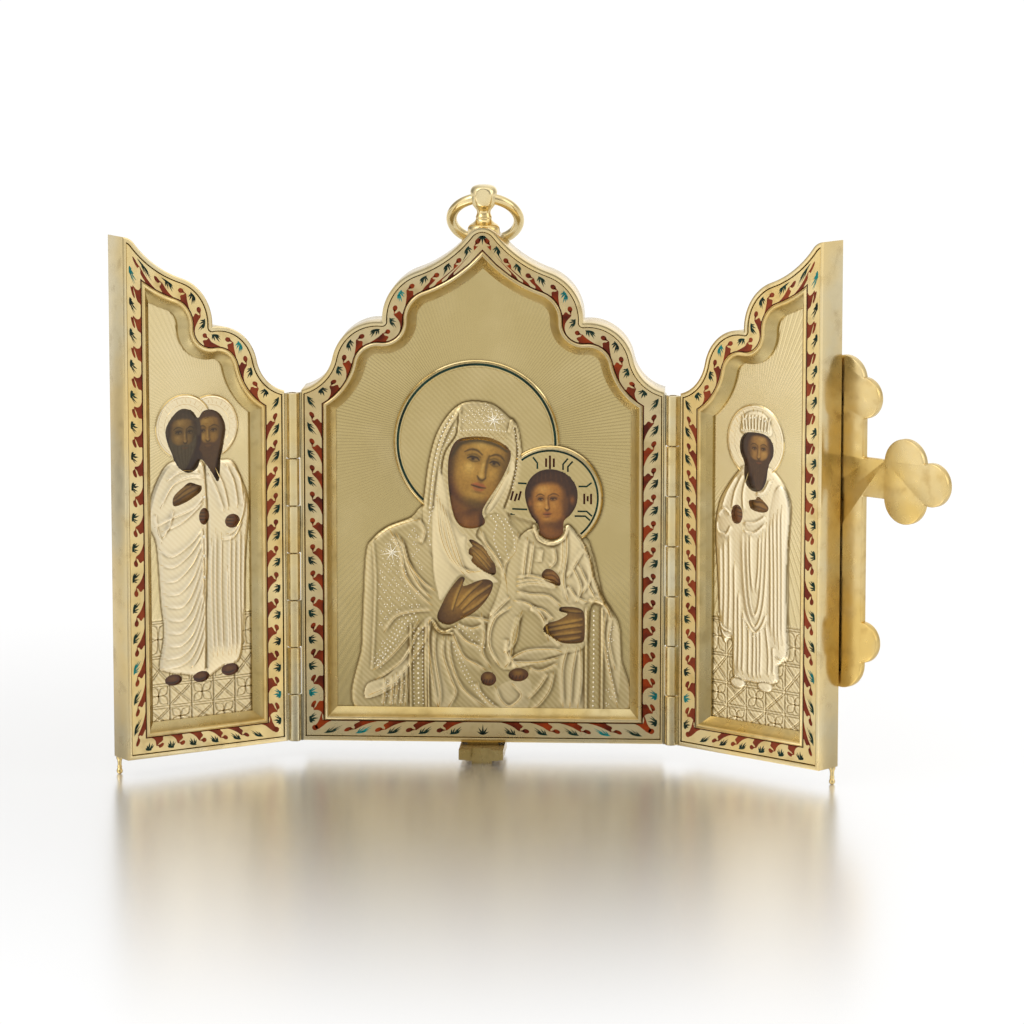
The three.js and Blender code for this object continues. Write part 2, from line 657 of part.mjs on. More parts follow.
function makeRing() {
  const ring = new THREE.Mesh(ringGeometry(), finishes.gilt);
  ring.name = "ring";
  const swing = new THREE.Group();
  swing.position.set(0, CASE_DEPTH / 2, CASE_BASE + FINIAL_EYE);
  swing.rotation.x = THREE.MathUtils.degToRad(90 + RING.tilt);
  swing.add(ring);
  return swing;
}

const triptych = new THREE.Group();
const left = makeWing(-1, "left", leftWingRelief());
const right = makeWing(1, "right", rightWingRelief());
const cross = addPiece(right.panel, "cross", crossSolid(), finishes.gilt);
cross.position.set(wingX(0, 1), WING_DEPTH + 0.3, 0);
triptych.add(makeCentre(), left.wing, right.wing, makeRing());

export default triptych;
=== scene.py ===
"""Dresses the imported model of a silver-gilt travelling triptych.

It has cases, enamelled frames, embossed plates and paintings. All sizes are in millimetres in each
panel's own plane, and one placing step turns them into metres in the model's frame.
"""

import json
import logging
import math
from dataclasses import dataclass, field
from enum import Enum
from typing import Callable, ClassVar, Iterable, Sequence

import bmesh
import bpy
import numpy as np
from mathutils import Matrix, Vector


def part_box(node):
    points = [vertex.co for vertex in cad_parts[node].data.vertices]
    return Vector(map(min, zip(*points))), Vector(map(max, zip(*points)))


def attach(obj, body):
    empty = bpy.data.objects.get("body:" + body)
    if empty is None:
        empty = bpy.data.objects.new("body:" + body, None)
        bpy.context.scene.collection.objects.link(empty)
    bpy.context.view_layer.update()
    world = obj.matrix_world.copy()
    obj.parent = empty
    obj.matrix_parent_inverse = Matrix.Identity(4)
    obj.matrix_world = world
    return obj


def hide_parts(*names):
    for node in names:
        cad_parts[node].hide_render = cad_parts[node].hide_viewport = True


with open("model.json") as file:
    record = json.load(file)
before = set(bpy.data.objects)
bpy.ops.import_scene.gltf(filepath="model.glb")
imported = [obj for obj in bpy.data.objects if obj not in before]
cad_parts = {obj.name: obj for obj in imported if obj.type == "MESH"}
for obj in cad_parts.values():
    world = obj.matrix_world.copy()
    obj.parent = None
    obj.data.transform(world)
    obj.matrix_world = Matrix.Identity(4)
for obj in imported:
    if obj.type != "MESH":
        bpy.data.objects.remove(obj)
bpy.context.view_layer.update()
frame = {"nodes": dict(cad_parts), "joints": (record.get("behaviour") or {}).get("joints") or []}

LOG = logging.getLogger("triptych")
MM = 0.001
BOARD_BROWN = "#2D1808"

Point = tuple[float, float]
Path = Sequence[Point]
Array = np.ndarray


# ---------------------------------------------------------------- plane geometry


def smoothstep(low: float, high: float, value: Array) -> Array:
    """Rises smoothly from 0 at low to 1 at high."""
    t = np.clip((value - low) / (high - low), 0.0, 1.0)
    return t * t * (3.0 - 2.0 * t)


def catmull(points: Path, closed: bool, steps: int = 8) -> Array:
    """A smooth curve through a few points.

    Args:
        points: the points it passes through.
        closed: whether it returns to the first point.
        steps: pieces between one point and the next.

    Returns:
        The curve's points, one row each.
    """
    p = np.asarray(points, float)
    count = len(p)
    spans = count if closed else count - 1
    rows = []
    for i in range(spans):
        if closed:
            a, b, c, d = p[(i - 1) % count], p[i], p[(i + 1) % count], p[(i + 2) % count]
        else:
            a, b, c, d = p[max(i - 1, 0)], p[i], p[i + 1], p[min(i + 2, count - 1)]
        for t in np.arange(steps) / steps:
            square, cube = 2 * a - 5 * b + 4 * c - d, 3 * b - a - 3 * c + d
            rows.append(0.5 * (2 * b + (c - a) * t + square * t**2 + cube * t**3))
    if not closed:
        rows.append(p[-1])
    return np.array(rows)


def rounded(points: Path, steps: int = 8) -> Array:
    """A smooth closed outline through a few points."""
    return catmull(points, True, steps)


def path_distance(x: Array, z: Array, path: Array) -> tuple[Array, Array, Array]:
    """How far points lie from a path.

    Args:
        x: the points' first coordinates.
        z: their second coordinates.
        path: the path's points.

    Returns:
        The distance, the share of the path's length at the nearest point, and the side as -1 or 1.
    """
    lengths = np.hypot(*np.diff(path, axis=0).T)
    starts = np.concatenate([[0.0], np.cumsum(lengths)])
    best = np.full(x.shape, np.inf)
    along = np.zeros(x.shape)
    side = np.ones(x.shape)
    for i, length in enumerate(lengths):
        if length < 1e-9:
            continue
        ux, uz = (path[i + 1] - path[i]) / length
        dx, dz = x - path[i][0], z - path[i][1]
        t = np.clip(dx * ux + dz * uz, 0.0, length)
        gap = np.hypot(dx - t * ux, dz - t * uz)
        nearer = gap < best
        best = np.where(nearer, gap, best)
        along = np.where(nearer, (starts[i] + t) / starts[-1], along)
        side = np.where(nearer, np.sign(dx * uz - dz * ux), side)
    return best, along, side


def inside_distance(x: Array, z: Array, outline: Array) -> Array:
    """The signed distance from points to a closed outline, above 0 inside it."""
    loop = np.vstack([outline, outline[:1]])
    gap, _, _ = path_distance(x, z, loop)
    inside = np.zeros(x.shape, bool)
    for (x0, z0), (x1, z1) in zip(loop[:-1], loop[1:]):
        if z0 == z1:
            continue
        crosses = (z0 > z) != (z1 > z)
        inside ^= crosses & (x < (x1 - x0) * (z - z0) / (z1 - z0) + x0)
    return np.where(inside, gap, -gap)


def leftward(steps: Array) -> Array:
    """Unit vectors to the left of steps along a path."""
    return np.column_stack([-steps[:, 1], steps[:, 0]]) / np.maximum(np.hypot(*steps.T), 1e-9)[:, None]


def disc(x: float, z: float, rx: float, rz: float | None = None, tilt: float = 0.0, count: int = 40) -> Array:
    """An ellipse's outline, turned by tilt degrees."""
    angle = np.linspace(0, 2 * math.pi, count, endpoint=False)
    a, b = rx * np.cos(angle), (rz or rx) * np.sin(angle)
    c, s = math.cos(math.radians(tilt)), math.sin(math.radians(tilt))
    return np.column_stack([x + a * c - b * s, z + a * s + b * c])


# ---------------------------------------------------------------- the shared sizes of the panels


@dataclass(frozen=True)
class Arc:
    """A round stretch of the panels' outline."""

    x: float
    z: float
    r: float


@dataclass(frozen=True)
class Ogee:
    """The outline that all three panels share, as arcs from the shoulder to the apex."""

    half_width: float = 37.34
    cornice: Arc = Arc(39.48, 82.04, 8.72)
    lobe: Arc = Arc(21.66, 78.37, 9.47)
    shoulder: Arc = Arc(10.12, 88.23, 10.55)
    flare_radius: float = 24.0
    flare_start: float = math.radians(70.5)
    tip_radius: float = 3.6
    rim: float = 0.9
    band_inside: float = 4.4
    thin_side: float = 0.48
    steps: int = 22

    def side_at(self, inset: float) -> float:
        """Where the straight side lies: it moves in by less than the rest, so the band is widest there."""
        share = min(inset / self.rim, (self.band_inside - inset) / (self.band_inside - self.rim))
        return self.half_width - inset + self.thin_side * max(0.0, share)

    def notch(self) -> Arc:
        """The sharp notch where the two round lobes cross."""
        lobe, shoulder = self.lobe, self.shoulder
        span = math.hypot(lobe.x - shoulder.x, lobe.z - shoulder.z)
        along = (shoulder.r**2 - lobe.r**2 + span**2) / (2 * span)
        across = math.sqrt(shoulder.r**2 - along**2)
        ux, uz = (lobe.x - shoulder.x) / span, (lobe.z - shoulder.z) / span
        return Arc(shoulder.x + along * ux - across * uz, shoulder.z + along * uz + across * ux, 0.0)

    def _sweep(self, arc: Arc, radius: float, start: float, end: float) -> Array:
        """Points along an arc between two angles."""
        angle = np.linspace(start, end, self.steps + 1)
        return np.column_stack([arc.x + radius * np.cos(angle), arc.z + radius * np.sin(angle)])

    def crown(self, inset: float, stop: float) -> Array:
        """The outline from the top of the side wall up to x = stop, moved in by inset."""
        side = self.side_at(inset)
        cornice, lobe, shoulder, notch = self.cornice, self.lobe, self.shoulder, self.notch()
        to_lobe = math.atan2(lobe.z - cornice.z, lobe.x - cornice.x) + 2 * math.pi
        lobe_end = math.atan2(notch.z - lobe.z, notch.x - lobe.x)
        lobe_start = math.atan2(cornice.z - lobe.z, cornice.x - lobe.x)
        shoulder_start = math.atan2(notch.z - shoulder.z, notch.x - shoulder.x)
        reach = shoulder.r + self.flare_radius
        flare_x = shoulder.x + reach * math.cos(self.flare_start)
        flare = Arc(flare_x, shoulder.z + reach * math.sin(self.flare_start), 0.0)
        tip = Arc(0.0, flare.z - math.sqrt((self.flare_radius + self.tip_radius) ** 2 - flare.x**2), 0.0)
        tip_radius, tip_start = self.tip_radius - inset, math.atan2(flare.z - tip.z, flare.x)
        wall = math.pi + math.acos((cornice.x - side) / (cornice.r + inset))
        rows = [
            self._sweep(cornice, cornice.r + inset, wall, to_lobe),
            self._sweep(lobe, lobe.r - inset, lobe_start, lobe_end)[1:],
            self._sweep(notch, inset, lobe_end + math.pi, shoulder_start + math.pi)[1:],
            self._sweep(shoulder, shoulder.r - inset, shoulder_start, self.flare_start)[1:],
        ]
        radius, begin = self.flare_radius + inset, self.flare_start + math.pi
        if tip_radius * math.cos(tip_start) > stop:
            rows.append(self._sweep(flare, radius, begin, tip_start + math.pi)[1:])
            rows.append(self._sweep(tip, tip_radius, tip_start, math.acos(stop / tip_radius))[1:])
        else:
            whole = self._sweep(flare, radius, begin, math.pi + math.acos((flare.x - stop) / radius))
            share = np.linspace(0, self.steps, 2 * self.steps + 1)
            spread = [np.interp(share, np.arange(self.steps + 1), column) for column in whole.T]
            rows.append(np.column_stack(spread)[1:])
        return np.vstack(rows)


@dataclass(frozen=True)
class FrameSizes:
    """Insets from a case's outline and depths from its front edge."""

    rim: float = 0.9
    band_outside: float = 1.05
    band_inside: float = 4.4
    lip: float = 0.75
    bevel: float = 1.75
    band_y: float = 0.25
    bevel_foot: float = 2.15
    ground_y: float = 2.65
    sheet: float = 0.5
    back_wall: float = 1.2
    free_edge: float = 0.15

    @property
    def sight(self) -> float:
        """The inset of the opening in which the relief shows."""
        return self.band_inside + self.lip + self.bevel


OGEE = Ogee()
SIZES = FrameSizes()
HINGE_Y = -0.2


class Side(Enum):
    """Which of the three panels."""

    LEFT = -1
    CENTRE = 0
    RIGHT = 1


@dataclass
class Panel:
    """One of the three panels: its outline, and how its own plane lies in the model's frame."""

    side: Side
    depth: float
    hinge_x: float = 0.0
    base: float = 0.0
    turn: float = 0.0

    @property
    def name(self) -> str:
        """The panel's name in the names of its pieces."""
        return {Side.LEFT: "left_wing", Side.CENTRE: "centre", Side.RIGHT: "right_wing"}[self.side]

    @property
    def body(self) -> str:
        """The body that it moves with."""
        return self.name

    def across(self, distance: Array | float) -> Array | float:
        """From a distance off the closed triptych's centre line to x in the panel's own plane."""
        if self.side is Side.CENTRE:
            return distance
        return self.side.value * (self.hinge_x - distance)

    def off_centre(self, x: Array | float) -> Array | float:
        """From x in the panel's own plane to a distance off the closed triptych's centre line."""
        if self.side is Side.CENTRE:
            return x
        return self.hinge_x - self.side.value * x

    def spread(self, points: Iterable[Point]) -> Array:
        """From distances off the centre line to the panel's own plane, for a list of points."""
        rows = np.array([list(p) for p in points], float)
        rows[:, 0] = self.across(rows[:, 0])
        return rows

    def outline(self, inset: float) -> Array:
        """The panel's closed outline, moved in by inset, anticlockwise."""
        if self.side is Side.CENTRE:
            right = OGEE.crown(inset, 0.0)
            left = right[:-1][::-1] * [-1, 1]
            low = OGEE.side_at(inset)
            return np.vstack([[[low, inset]], right, left, [[-low, inset]]])
        free = SIZES.free_edge + inset
        rows = np.vstack([[[OGEE.side_at(inset), inset]], OGEE.crown(inset, free), [[free, inset]]])
        rows[:, 0] = self.across(rows[:, 0])
        return rows[::-1] if self.side is Side.RIGHT else rows

    def place(self, x: Array, y: Array, z: Array) -> Array:
        """Turns points of the panel's own plane into metres in the model's frame.

        Args:
            x: across the panel, from its middle or from its hinge.
            y: back from the front edge of its case.
            z: up from the lower edge of its case.

        Returns:
            One row of three for each point.
        """
        x, y, z = np.broadcast_arrays(np.asarray(x, float), np.asarray(y, float), np.asarray(z, float))
        if self.side is Side.CENTRE:
            return np.column_stack([x.ravel(), y.ravel(), z.ravel() + self.base]) * MM
        back = y - HINGE_Y
        c, s = math.cos(self.turn), math.sin(self.turn)
        px = self.side.value * self.hinge_x + x * c - back * s
        py = HINGE_Y + x * s + back * c
        return np.column_stack([px.ravel(), py.ravel(), z.ravel() + self.base]) * MM

    def depth_at(self, point: Array) -> float:
        """How far back from the front edge of the case a point of the model's frame, in millimetres, lies."""
        if self.side is Side.CENTRE:
            return float(point[1])
        c, s = math.cos(self.turn), math.sin(self.turn)
        return float(HINGE_Y + (point[1] - HINGE_Y) * c - (point[0] - self.side.value * self.hinge_x) * s)


def read_panels() -> dict[Side, Panel]:
    """The three panels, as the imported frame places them."""
    low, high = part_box("centre_case")
    base, depth = low.z / MM, (high.y - low.y) / MM
    panels = {Side.CENTRE: Panel(Side.CENTRE, depth, base=base)}
    for side, joint_name in ((Side.LEFT, "left_wing_hinge"), (Side.RIGHT, "right_wing_hinge")):
        joint = next(j for j in frame["joints"] if j["name"] == joint_name)
        opened = math.pi - math.radians(joint["range_deg"][1])
        hinge_x = abs(joint["pos_m"][0]) / MM
        panels[side] = Panel(side, 6.4, hinge_x, base, -side.value * opened)
    return panels


# ---------------------------------------------------------------- mesh making


def make_piece(
    name: str,
    vertices: Array,
    faces: Sequence[Sequence[int]],
    material: bpy.types.Material,
    body: str,
    sharp: float | None = 35.0,
    attributes: dict[str, Array] | None = None,
    weld: bool = False,
) -> bpy.types.Object:
    """Makes one mesh piece that rides on a body.

    Args:
        name: the object's name.
        vertices: points in metres.
        faces: rows of vertex indices.
        material: its finish.
        body: the body that it moves with.
        sharp: the angle in degrees past which an edge stays sharp, or None for flat faces.
        attributes: point attributes, of one, three or four values each.
        weld: whether doubled points are merged and normals turned outwards.

    Returns:
        The new object.
    """
    mesh = bpy.data.meshes.new(name)
    mesh.from_pydata(np.asarray(vertices).tolist(), [], [list(map(int, f)) for f in faces])
    kinds = {1: ("FLOAT", "value"), 3: ("FLOAT_VECTOR", "vector"), 4: ("FLOAT_COLOR", "color")}
    for key, values in (attributes or {}).items():
        values = np.asarray(values, np.float32)
        kind, slot_name = kinds[1 if values.ndim == 1 else values.shape[1]]
        mesh.attributes.new(key, kind, "POINT").data.foreach_set(slot_name, values.ravel())
    if weld:
        bm = bmesh.new()
        bm.from_mesh(mesh)
        bmesh.ops.remove_doubles(bm, verts=bm.verts, dist=2e-6)
        bmesh.ops.recalc_face_normals(bm, faces=bm.faces)
        bm.to_mesh(mesh)
        bm.free()
    if sharp is not None:
        mesh.shade_smooth()
        mesh.set_sharp_from_angle(angle=math.radians(sharp))
    mesh.materials.append(material)
    piece = bpy.data.objects.new(name, mesh)
    bpy.context.scene.collection.objects.link(piece)
    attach(piece, body)
    return piece


def lathe(profile: Path, segments: int) -> Array:
    """The points of a profile of radius and height, turned about the z axis."""
    angle = np.linspace(0, 2 * np.pi, segments, endpoint=False)
    across, up = np.cos(angle), np.sin(angle)
    return np.vstack([np.column_stack([r * across, r * up, np.full(segments, z)]) for r, z in profile])


def ring_faces(rings: int, count: int, closed: bool) -> list[list[int]]:
    """Quads between neighbouring rings of count points each."""
    faces = []
    for i in range(rings if closed else rings - 1):
        for j in range(count):
            k = (j + 1) % count
            n = (i + 1) % rings
            faces.append([i * count + j, i * count + k, n * count + k, n * count + j])
    return faces


# ---------------------------------------------------------------- finishes


def linear(hex_colour: str) -> tuple[float, float, float, float]:
    """An sRGB hex colour as linear values."""
    parts = [int(hex_colour.lstrip("#")[i : i + 2], 16) / 255 for i in (0, 2, 4)]
    return (*[c / 12.92 if c <= 0.04045 else ((c + 0.055) / 1.055) ** 2.4 for c in parts], 1.0)


def linear_array(colour: Array) -> Array:
    """sRGB values from 0 to 1 as linear values."""
    return np.where(colour <= 0.04045, colour / 12.92, ((np.maximum(colour, 0) + 0.055) / 1.055) ** 2.4)


def add_node(
    tree: bpy.types.NodeTree, kind: str, settings: dict | None = None, links: dict | None = None
) -> bpy.types.Node:
    """Adds a node with its settings and links.

    Args:
        tree: the tree that it joins.
        kind: the node's type name.
        settings: properties by name, and input values by socket name or number under "inputs".
        links: output sockets by the input that they feed.

    Returns:
        The new node.
    """
    node = tree.nodes.new(kind)
    for key, value in (settings or {}).items():
        if key == "inputs":
            for socket, number in value.items():
                node.inputs[socket].default_value = number
        else:
            setattr(node, key, value)
    for socket, source in (links or {}).items():
        tree.links.new(source, node.inputs[socket])
    return node


def new_material(name: str) -> tuple[bpy.types.Material, bpy.types.NodeTree, bpy.types.Node]:
    """An empty node material, its tree and its main shader."""
    material = bpy.data.materials.new(name)
    material.use_nodes = True
    tree = material.node_tree
    tree.nodes.clear()
    shader = add_node(tree, "ShaderNodeBsdfPrincipled")
    add_node(tree, "ShaderNodeOutputMaterial", links={"Surface": shader.outputs[0]})
    return material, tree, shader


def mix_colour(tree: bpy.types.NodeTree, factor, a, b, blend: str = "MIX") -> bpy.types.NodeSocket:
    """Mixes two colours, each a socket or a constant, and returns the result."""
    node = add_node(tree, "ShaderNodeMix", {"data_type": "RGBA", "blend_type": blend})
    for index, value in ((0, factor), (6, a), (7, b)):
        if isinstance(value, bpy.types.NodeSocket):
            tree.links.new(value, node.inputs[index])
        else:
            node.inputs[index].default_value = value
    return node.outputs[2]


def math_node(tree: bpy.types.NodeTree, operation: str, a, b=0.0) -> bpy.types.NodeSocket:
    """One sum of two values, each a socket or a number."""
    node = add_node(tree, "ShaderNodeMath", {"operation": operation})
    for index, value in ((0, a), (1, b)):
        if isinstance(value, bpy.types.NodeSocket):
            tree.links.new(value, node.inputs[index])
        else:
            node.inputs[index].default_value = value
    return node.outputs[0]


def noise(
    tree: bpy.types.NodeTree, place: bpy.types.NodeSocket, scale: float, detail: float
) -> bpy.types.NodeSocket:
    """A cloudy value from 0 to 1 over a place."""
    settings = {"inputs": {"Scale": scale, "Detail": detail}}
    return add_node(tree, "ShaderNodeTexNoise", settings, {"Vector": place}).outputs["Fac"]


def map_range(
    tree: bpy.types.NodeTree, value: bpy.types.NodeSocket, source: Point, target: Point = (0.0, 1.0),
    smooth: bool = False,
) -> bpy.types.NodeSocket:
    """Maps a value from one range to another.

    Args:
        tree: the tree that the node joins.
        value: what is mapped.
        source: the range that it comes from.
        target: the range that it is taken to.
        smooth: whether it leaves and arrives gently.

    Returns:
        The mapped value.
    """
    inputs = {"From Min": source[0], "From Max": source[1], "To Min": target[0], "To Max": target[1]}
    settings = {"interpolation_type": "SMOOTHSTEP" if smooth else "LINEAR", "inputs": inputs}
    return add_node(tree, "ShaderNodeMapRange", settings, {"Value": value}).outputs[0]


def attribute(tree: bpy.types.NodeTree, name: str, output: str = "Fac") -> bpy.types.NodeSocket:
    """A mesh attribute's value."""
    return add_node(tree, "ShaderNodeAttribute", {"attribute_name": name}).outputs[output]


def add_bump(
    tree: bpy.types.NodeTree, shader: bpy.types.Node, height: bpy.types.NodeSocket, strength: float,
    distance: float,
) -> None:
    """Gives a shader a bump from a height, whose unit is distance in metres."""
    settings = {"inputs": {"Strength": strength, "Distance": distance}}
    bump = add_node(tree, "ShaderNodeBump", settings, {"Height": height})
    tree.links.new(bump.outputs[0], shader.inputs["Normal"])


@dataclass(frozen=True)
class GiltSilver:
    """Sterling silver under pale gold, polished and then handled for a century.

    Polish gives soft mirror highlights, handling fine random scratches, and thin gilding cooler patches.
    """

    name: str = "gilt_silver"
    gold: str = "#DCC38A"
    thin: str = "#D2C39C"
    tarnish: str = "#957840"
    roughness: float = 0.2
    scratch_mm: float = 0.35

    CLOUD_MM: ClassVar[float] = 14.0
    SPOT_MM: ClassVar[float] = 3.2
    SCRATCH_DEPTH_MM: ClassVar[float] = 0.02

    def build(self) -> bpy.types.Material:
        """Makes the material."""
        material, tree, shader = new_material(self.name)
        place = add_node(tree, "ShaderNodeTexCoord").outputs["Object"]
        spots = noise(tree, place, 1 / (self.SPOT_MM * MM), 5.0)
        thin = map_range(tree, noise(tree, place, 1 / (self.CLOUD_MM * MM), 4.0), (0.4, 0.66))
        dull = map_range(tree, spots, (0.56, 0.78), (0.0, 0.35))
        colour = mix_colour(tree, thin, linear(self.gold), linear(self.thin))
        colour = mix_colour(tree, dull, colour, linear(self.tarnish))
        tree.links.new(colour, shader.inputs["Base Color"])
        rough = map_range(tree, spots, (0.3, 0.7), (self.roughness * 0.75, self.roughness * 1.5))
        tree.links.new(rough, shader.inputs["Roughness"])
        settings = {"inputs": {"Scale": (1.0, 1.0, 0.08)}}
        upright = add_node(tree, "ShaderNodeMapping", settings, {"Vector": place}).outputs[0]
        scratches = noise(tree, upright, 1 / (self.scratch_mm * MM), 3.0)
        add_bump(tree, shader, scratches, 0.35, self.SCRATCH_DEPTH_MM * MM)
        shader.inputs["Metallic"].default_value = 1.0
        return material


@dataclass(frozen=True)
class EmbossedGilt:
    """Thin gilt silver sheet, embossed from behind, engraved from the front and engine turned.

    Attributes on the mesh say where the ground is engine turned, where cloth is left matt, where gilding
    is thin, and where the hollows are darker, being dirty and carrying painted shade.
    """

    name: str
    centre: Point
    rays: int
    ray_depth_mm: float
    hatching: float = 0.52
    gold: str = "#C2AE78"
    silver: str = "#F4E0B0"
    hollow_dirt_and_shade: str = "#5E4720"

    GROOVE_MM: ClassVar[float] = 0.03
    FROST_MM: ClassVar[float] = 0.05

    def build(self) -> bpy.types.Material:
        """Makes the material."""
        material, tree, shader = new_material(self.name)
        panel = attribute(tree, "panel_mm", "Vector")
        matt = attribute(tree, "matt")
        patch = map_range(tree, noise(tree, panel, 0.11, 4.0), (0.35, 0.68), (-0.05, 0.1))
        tone = math_node(tree, "ADD", attribute(tree, "pale"), patch)
        thin = add_node(tree, "ShaderNodeClamp", links={0: tone}).outputs[0]
        hatched = math_node(tree, "MULTIPLY", self.lines(tree, panel), matt)
        colour = mix_colour(tree, thin, linear(self.gold), linear(self.silver))
        shade = math_node(tree, "MULTIPLY", hatched, 0.6)
        colour = mix_colour(tree, shade, colour, linear(self.gold), "MULTIPLY")
        # Hollows made darker: dirty, and with painted shade as well.
        colour = mix_colour(tree, attribute(tree, "hollow"), colour, linear(self.hollow_dirt_and_shade))
        tree.links.new(colour, shader.inputs["Base Color"])

        frosting = math_node(tree, "MULTIPLY", noise(tree, panel, 3.2, 2.0), matt)
        rays = self.sun(tree, panel)
        height = math_node(tree, "ADD", rays, math_node(tree, "MULTIPLY", frosting, self.FROST_MM))
        height = math_node(tree, "ADD", height, math_node(tree, "MULTIPLY", hatched, -self.GROOVE_MM))
        add_bump(tree, shader, math_node(tree, "MULTIPLY", height, MM), 1.0, 1.0)
        rough = math_node(tree, "ADD", math_node(tree, "MULTIPLY", matt, 0.16), 0.27)
        tree.links.new(rough, shader.inputs["Roughness"])
        shader.inputs["Metallic"].default_value = 1.0
        return material

    def lines(self, tree: bpy.types.NodeTree, panel: bpy.types.NodeSocket) -> bpy.types.NodeSocket:
        """The graver's slanting lines on cloth."""
        inputs = {"Scale": self.hatching, "Distortion": 5.0, "Detail": 1.0, "Detail Scale": 0.16}
        settings = {"bands_direction": "DIAGONAL", "inputs": inputs}
        return add_node(tree, "ShaderNodeTexWave", settings, {"Vector": panel}).outputs["Fac"]

    def sun(self, tree: bpy.types.NodeTree, panel: bpy.types.NodeSocket) -> bpy.types.NodeSocket:
        """The height of the engine-turned rays about the centre."""
        place = add_node(tree, "ShaderNodeSeparateXYZ", links={0: panel})
        up = math_node(tree, "SUBTRACT", place.outputs["Z"], self.centre[1])
        across = math_node(tree, "SUBTRACT", place.outputs["X"], self.centre[0])
        angle = math_node(tree, "ARCTAN2", up, across)
        wave = math_node(tree, "SINE", math_node(tree, "MULTIPLY", angle, float(self.rays)))
        shown = math_node(tree, "MULTIPLY", wave, attribute(tree, "turned"))
        return math_node(tree, "MULTIPLY", shown, self.ray_depth_mm)


@dataclass(frozen=True)
class Enamel:
    """Opaque champleve enamel: glass fired in cut cells and stoned flush with the metal.

    Stoning leaves a low gloss with small pits, and firing an uneven depth of colour.
    """

    name: str
    light: str
    dark: str

    CLOUD_MM: ClassVar[float] = 4.0
    PIT_MM: ClassVar[float] = 0.3
    PIT_DEPTH_MM: ClassVar[float] = 0.02

    def build(self) -> bpy.types.Material:
        """Makes the material."""
        material, tree, shader = new_material(self.name)
        place = add_node(tree, "ShaderNodeTexCoord").outputs["Object"]
        share = map_range(tree, noise(tree, place, 1 / (self.CLOUD_MM * MM), 3.0), (0.36, 0.64))
        colour = mix_colour(tree, share, linear(self.dark), linear(self.light))
        tree.links.new(colour, shader.inputs["Base Color"])
        pits = noise(tree, place, 1 / (self.PIT_MM * MM), 2.0)
        add_bump(tree, shader, pits, 0.3, self.PIT_DEPTH_MM * MM)
        shader.inputs["Roughness"].default_value = 0.22
        shader.inputs["IOR"].default_value = 1.52
        shader.inputs["Specular IOR Level"].default_value = 0.14
        return material


@dataclass(frozen=True)
class VarnishedPaint:
    """Oil paint on a primed board under an old amber varnish: deep colours, a soft gloss and fine cracks."""

    name: str = "varnished_paint"
    plain: str = ""

    CRACK_DEPTH_MM: ClassVar[float] = 0.03

    def build(self) -> bpy.types.Material:
        """Makes the material."""
        material, tree, shader = new_material(self.name)
        if self.plain:
            place = add_node(tree, "ShaderNodeTexCoord").outputs["Object"]
            settings = {"operation": "SCALE", "inputs": {"Scale": 1 / MM}}
            panel = add_node(tree, "ShaderNodeVectorMath", settings, {0: place}).outputs[0]
            paint = add_node(tree, "ShaderNodeRGB").outputs[0]
            paint.default_value = linear(self.plain)
        else:
            panel = attribute(tree, "panel_mm", "Vector")
            paint = attribute(tree, "paint", "Color")
        shade = map_range(tree, noise(tree, panel, 1.6, 4.0), (0.3, 0.7), (0.84, 1.12))
        links = {0: paint, "Scale": shade}
        tinted = add_node(tree, "ShaderNodeVectorMath", {"operation": "SCALE"}, links).outputs[0]
        tree.links.new(tinted, shader.inputs["Base Color"])
        settings = {"feature": "DISTANCE_TO_EDGE", "inputs": {"Scale": 1.1}}
        cracks = add_node(tree, "ShaderNodeTexVoronoi", settings, {"Vector": panel}).outputs["Distance"]
        add_bump(tree, shader, map_range(tree, cracks, (0.0, 0.04)), 0.25, self.CRACK_DEPTH_MM * MM)
        shader.inputs["Roughness"].default_value = 0.32
        shader.inputs["IOR"].default_value = 1.5
        return material


@dataclass
class Finishes:
    """Every finish of the triptych, made once."""

    gilt: bpy.types.Material
    bright: bpy.types.Material
    band: bpy.types.Material
    wing_band: bpy.types.Material
    bevel: bpy.types.Material
    rust: bpy.types.Material
    brick: bpy.types.Material
    line: bpy.types.Material
    green: bpy.types.Material
    turquoise: bpy.types.Material
    paint: bpy.types.Material
    board: bpy.types.Material
    bead: bpy.types.Material
    hinge: bpy.types.Material
    catch: bpy.types.Material
    cross: bpy.types.Material


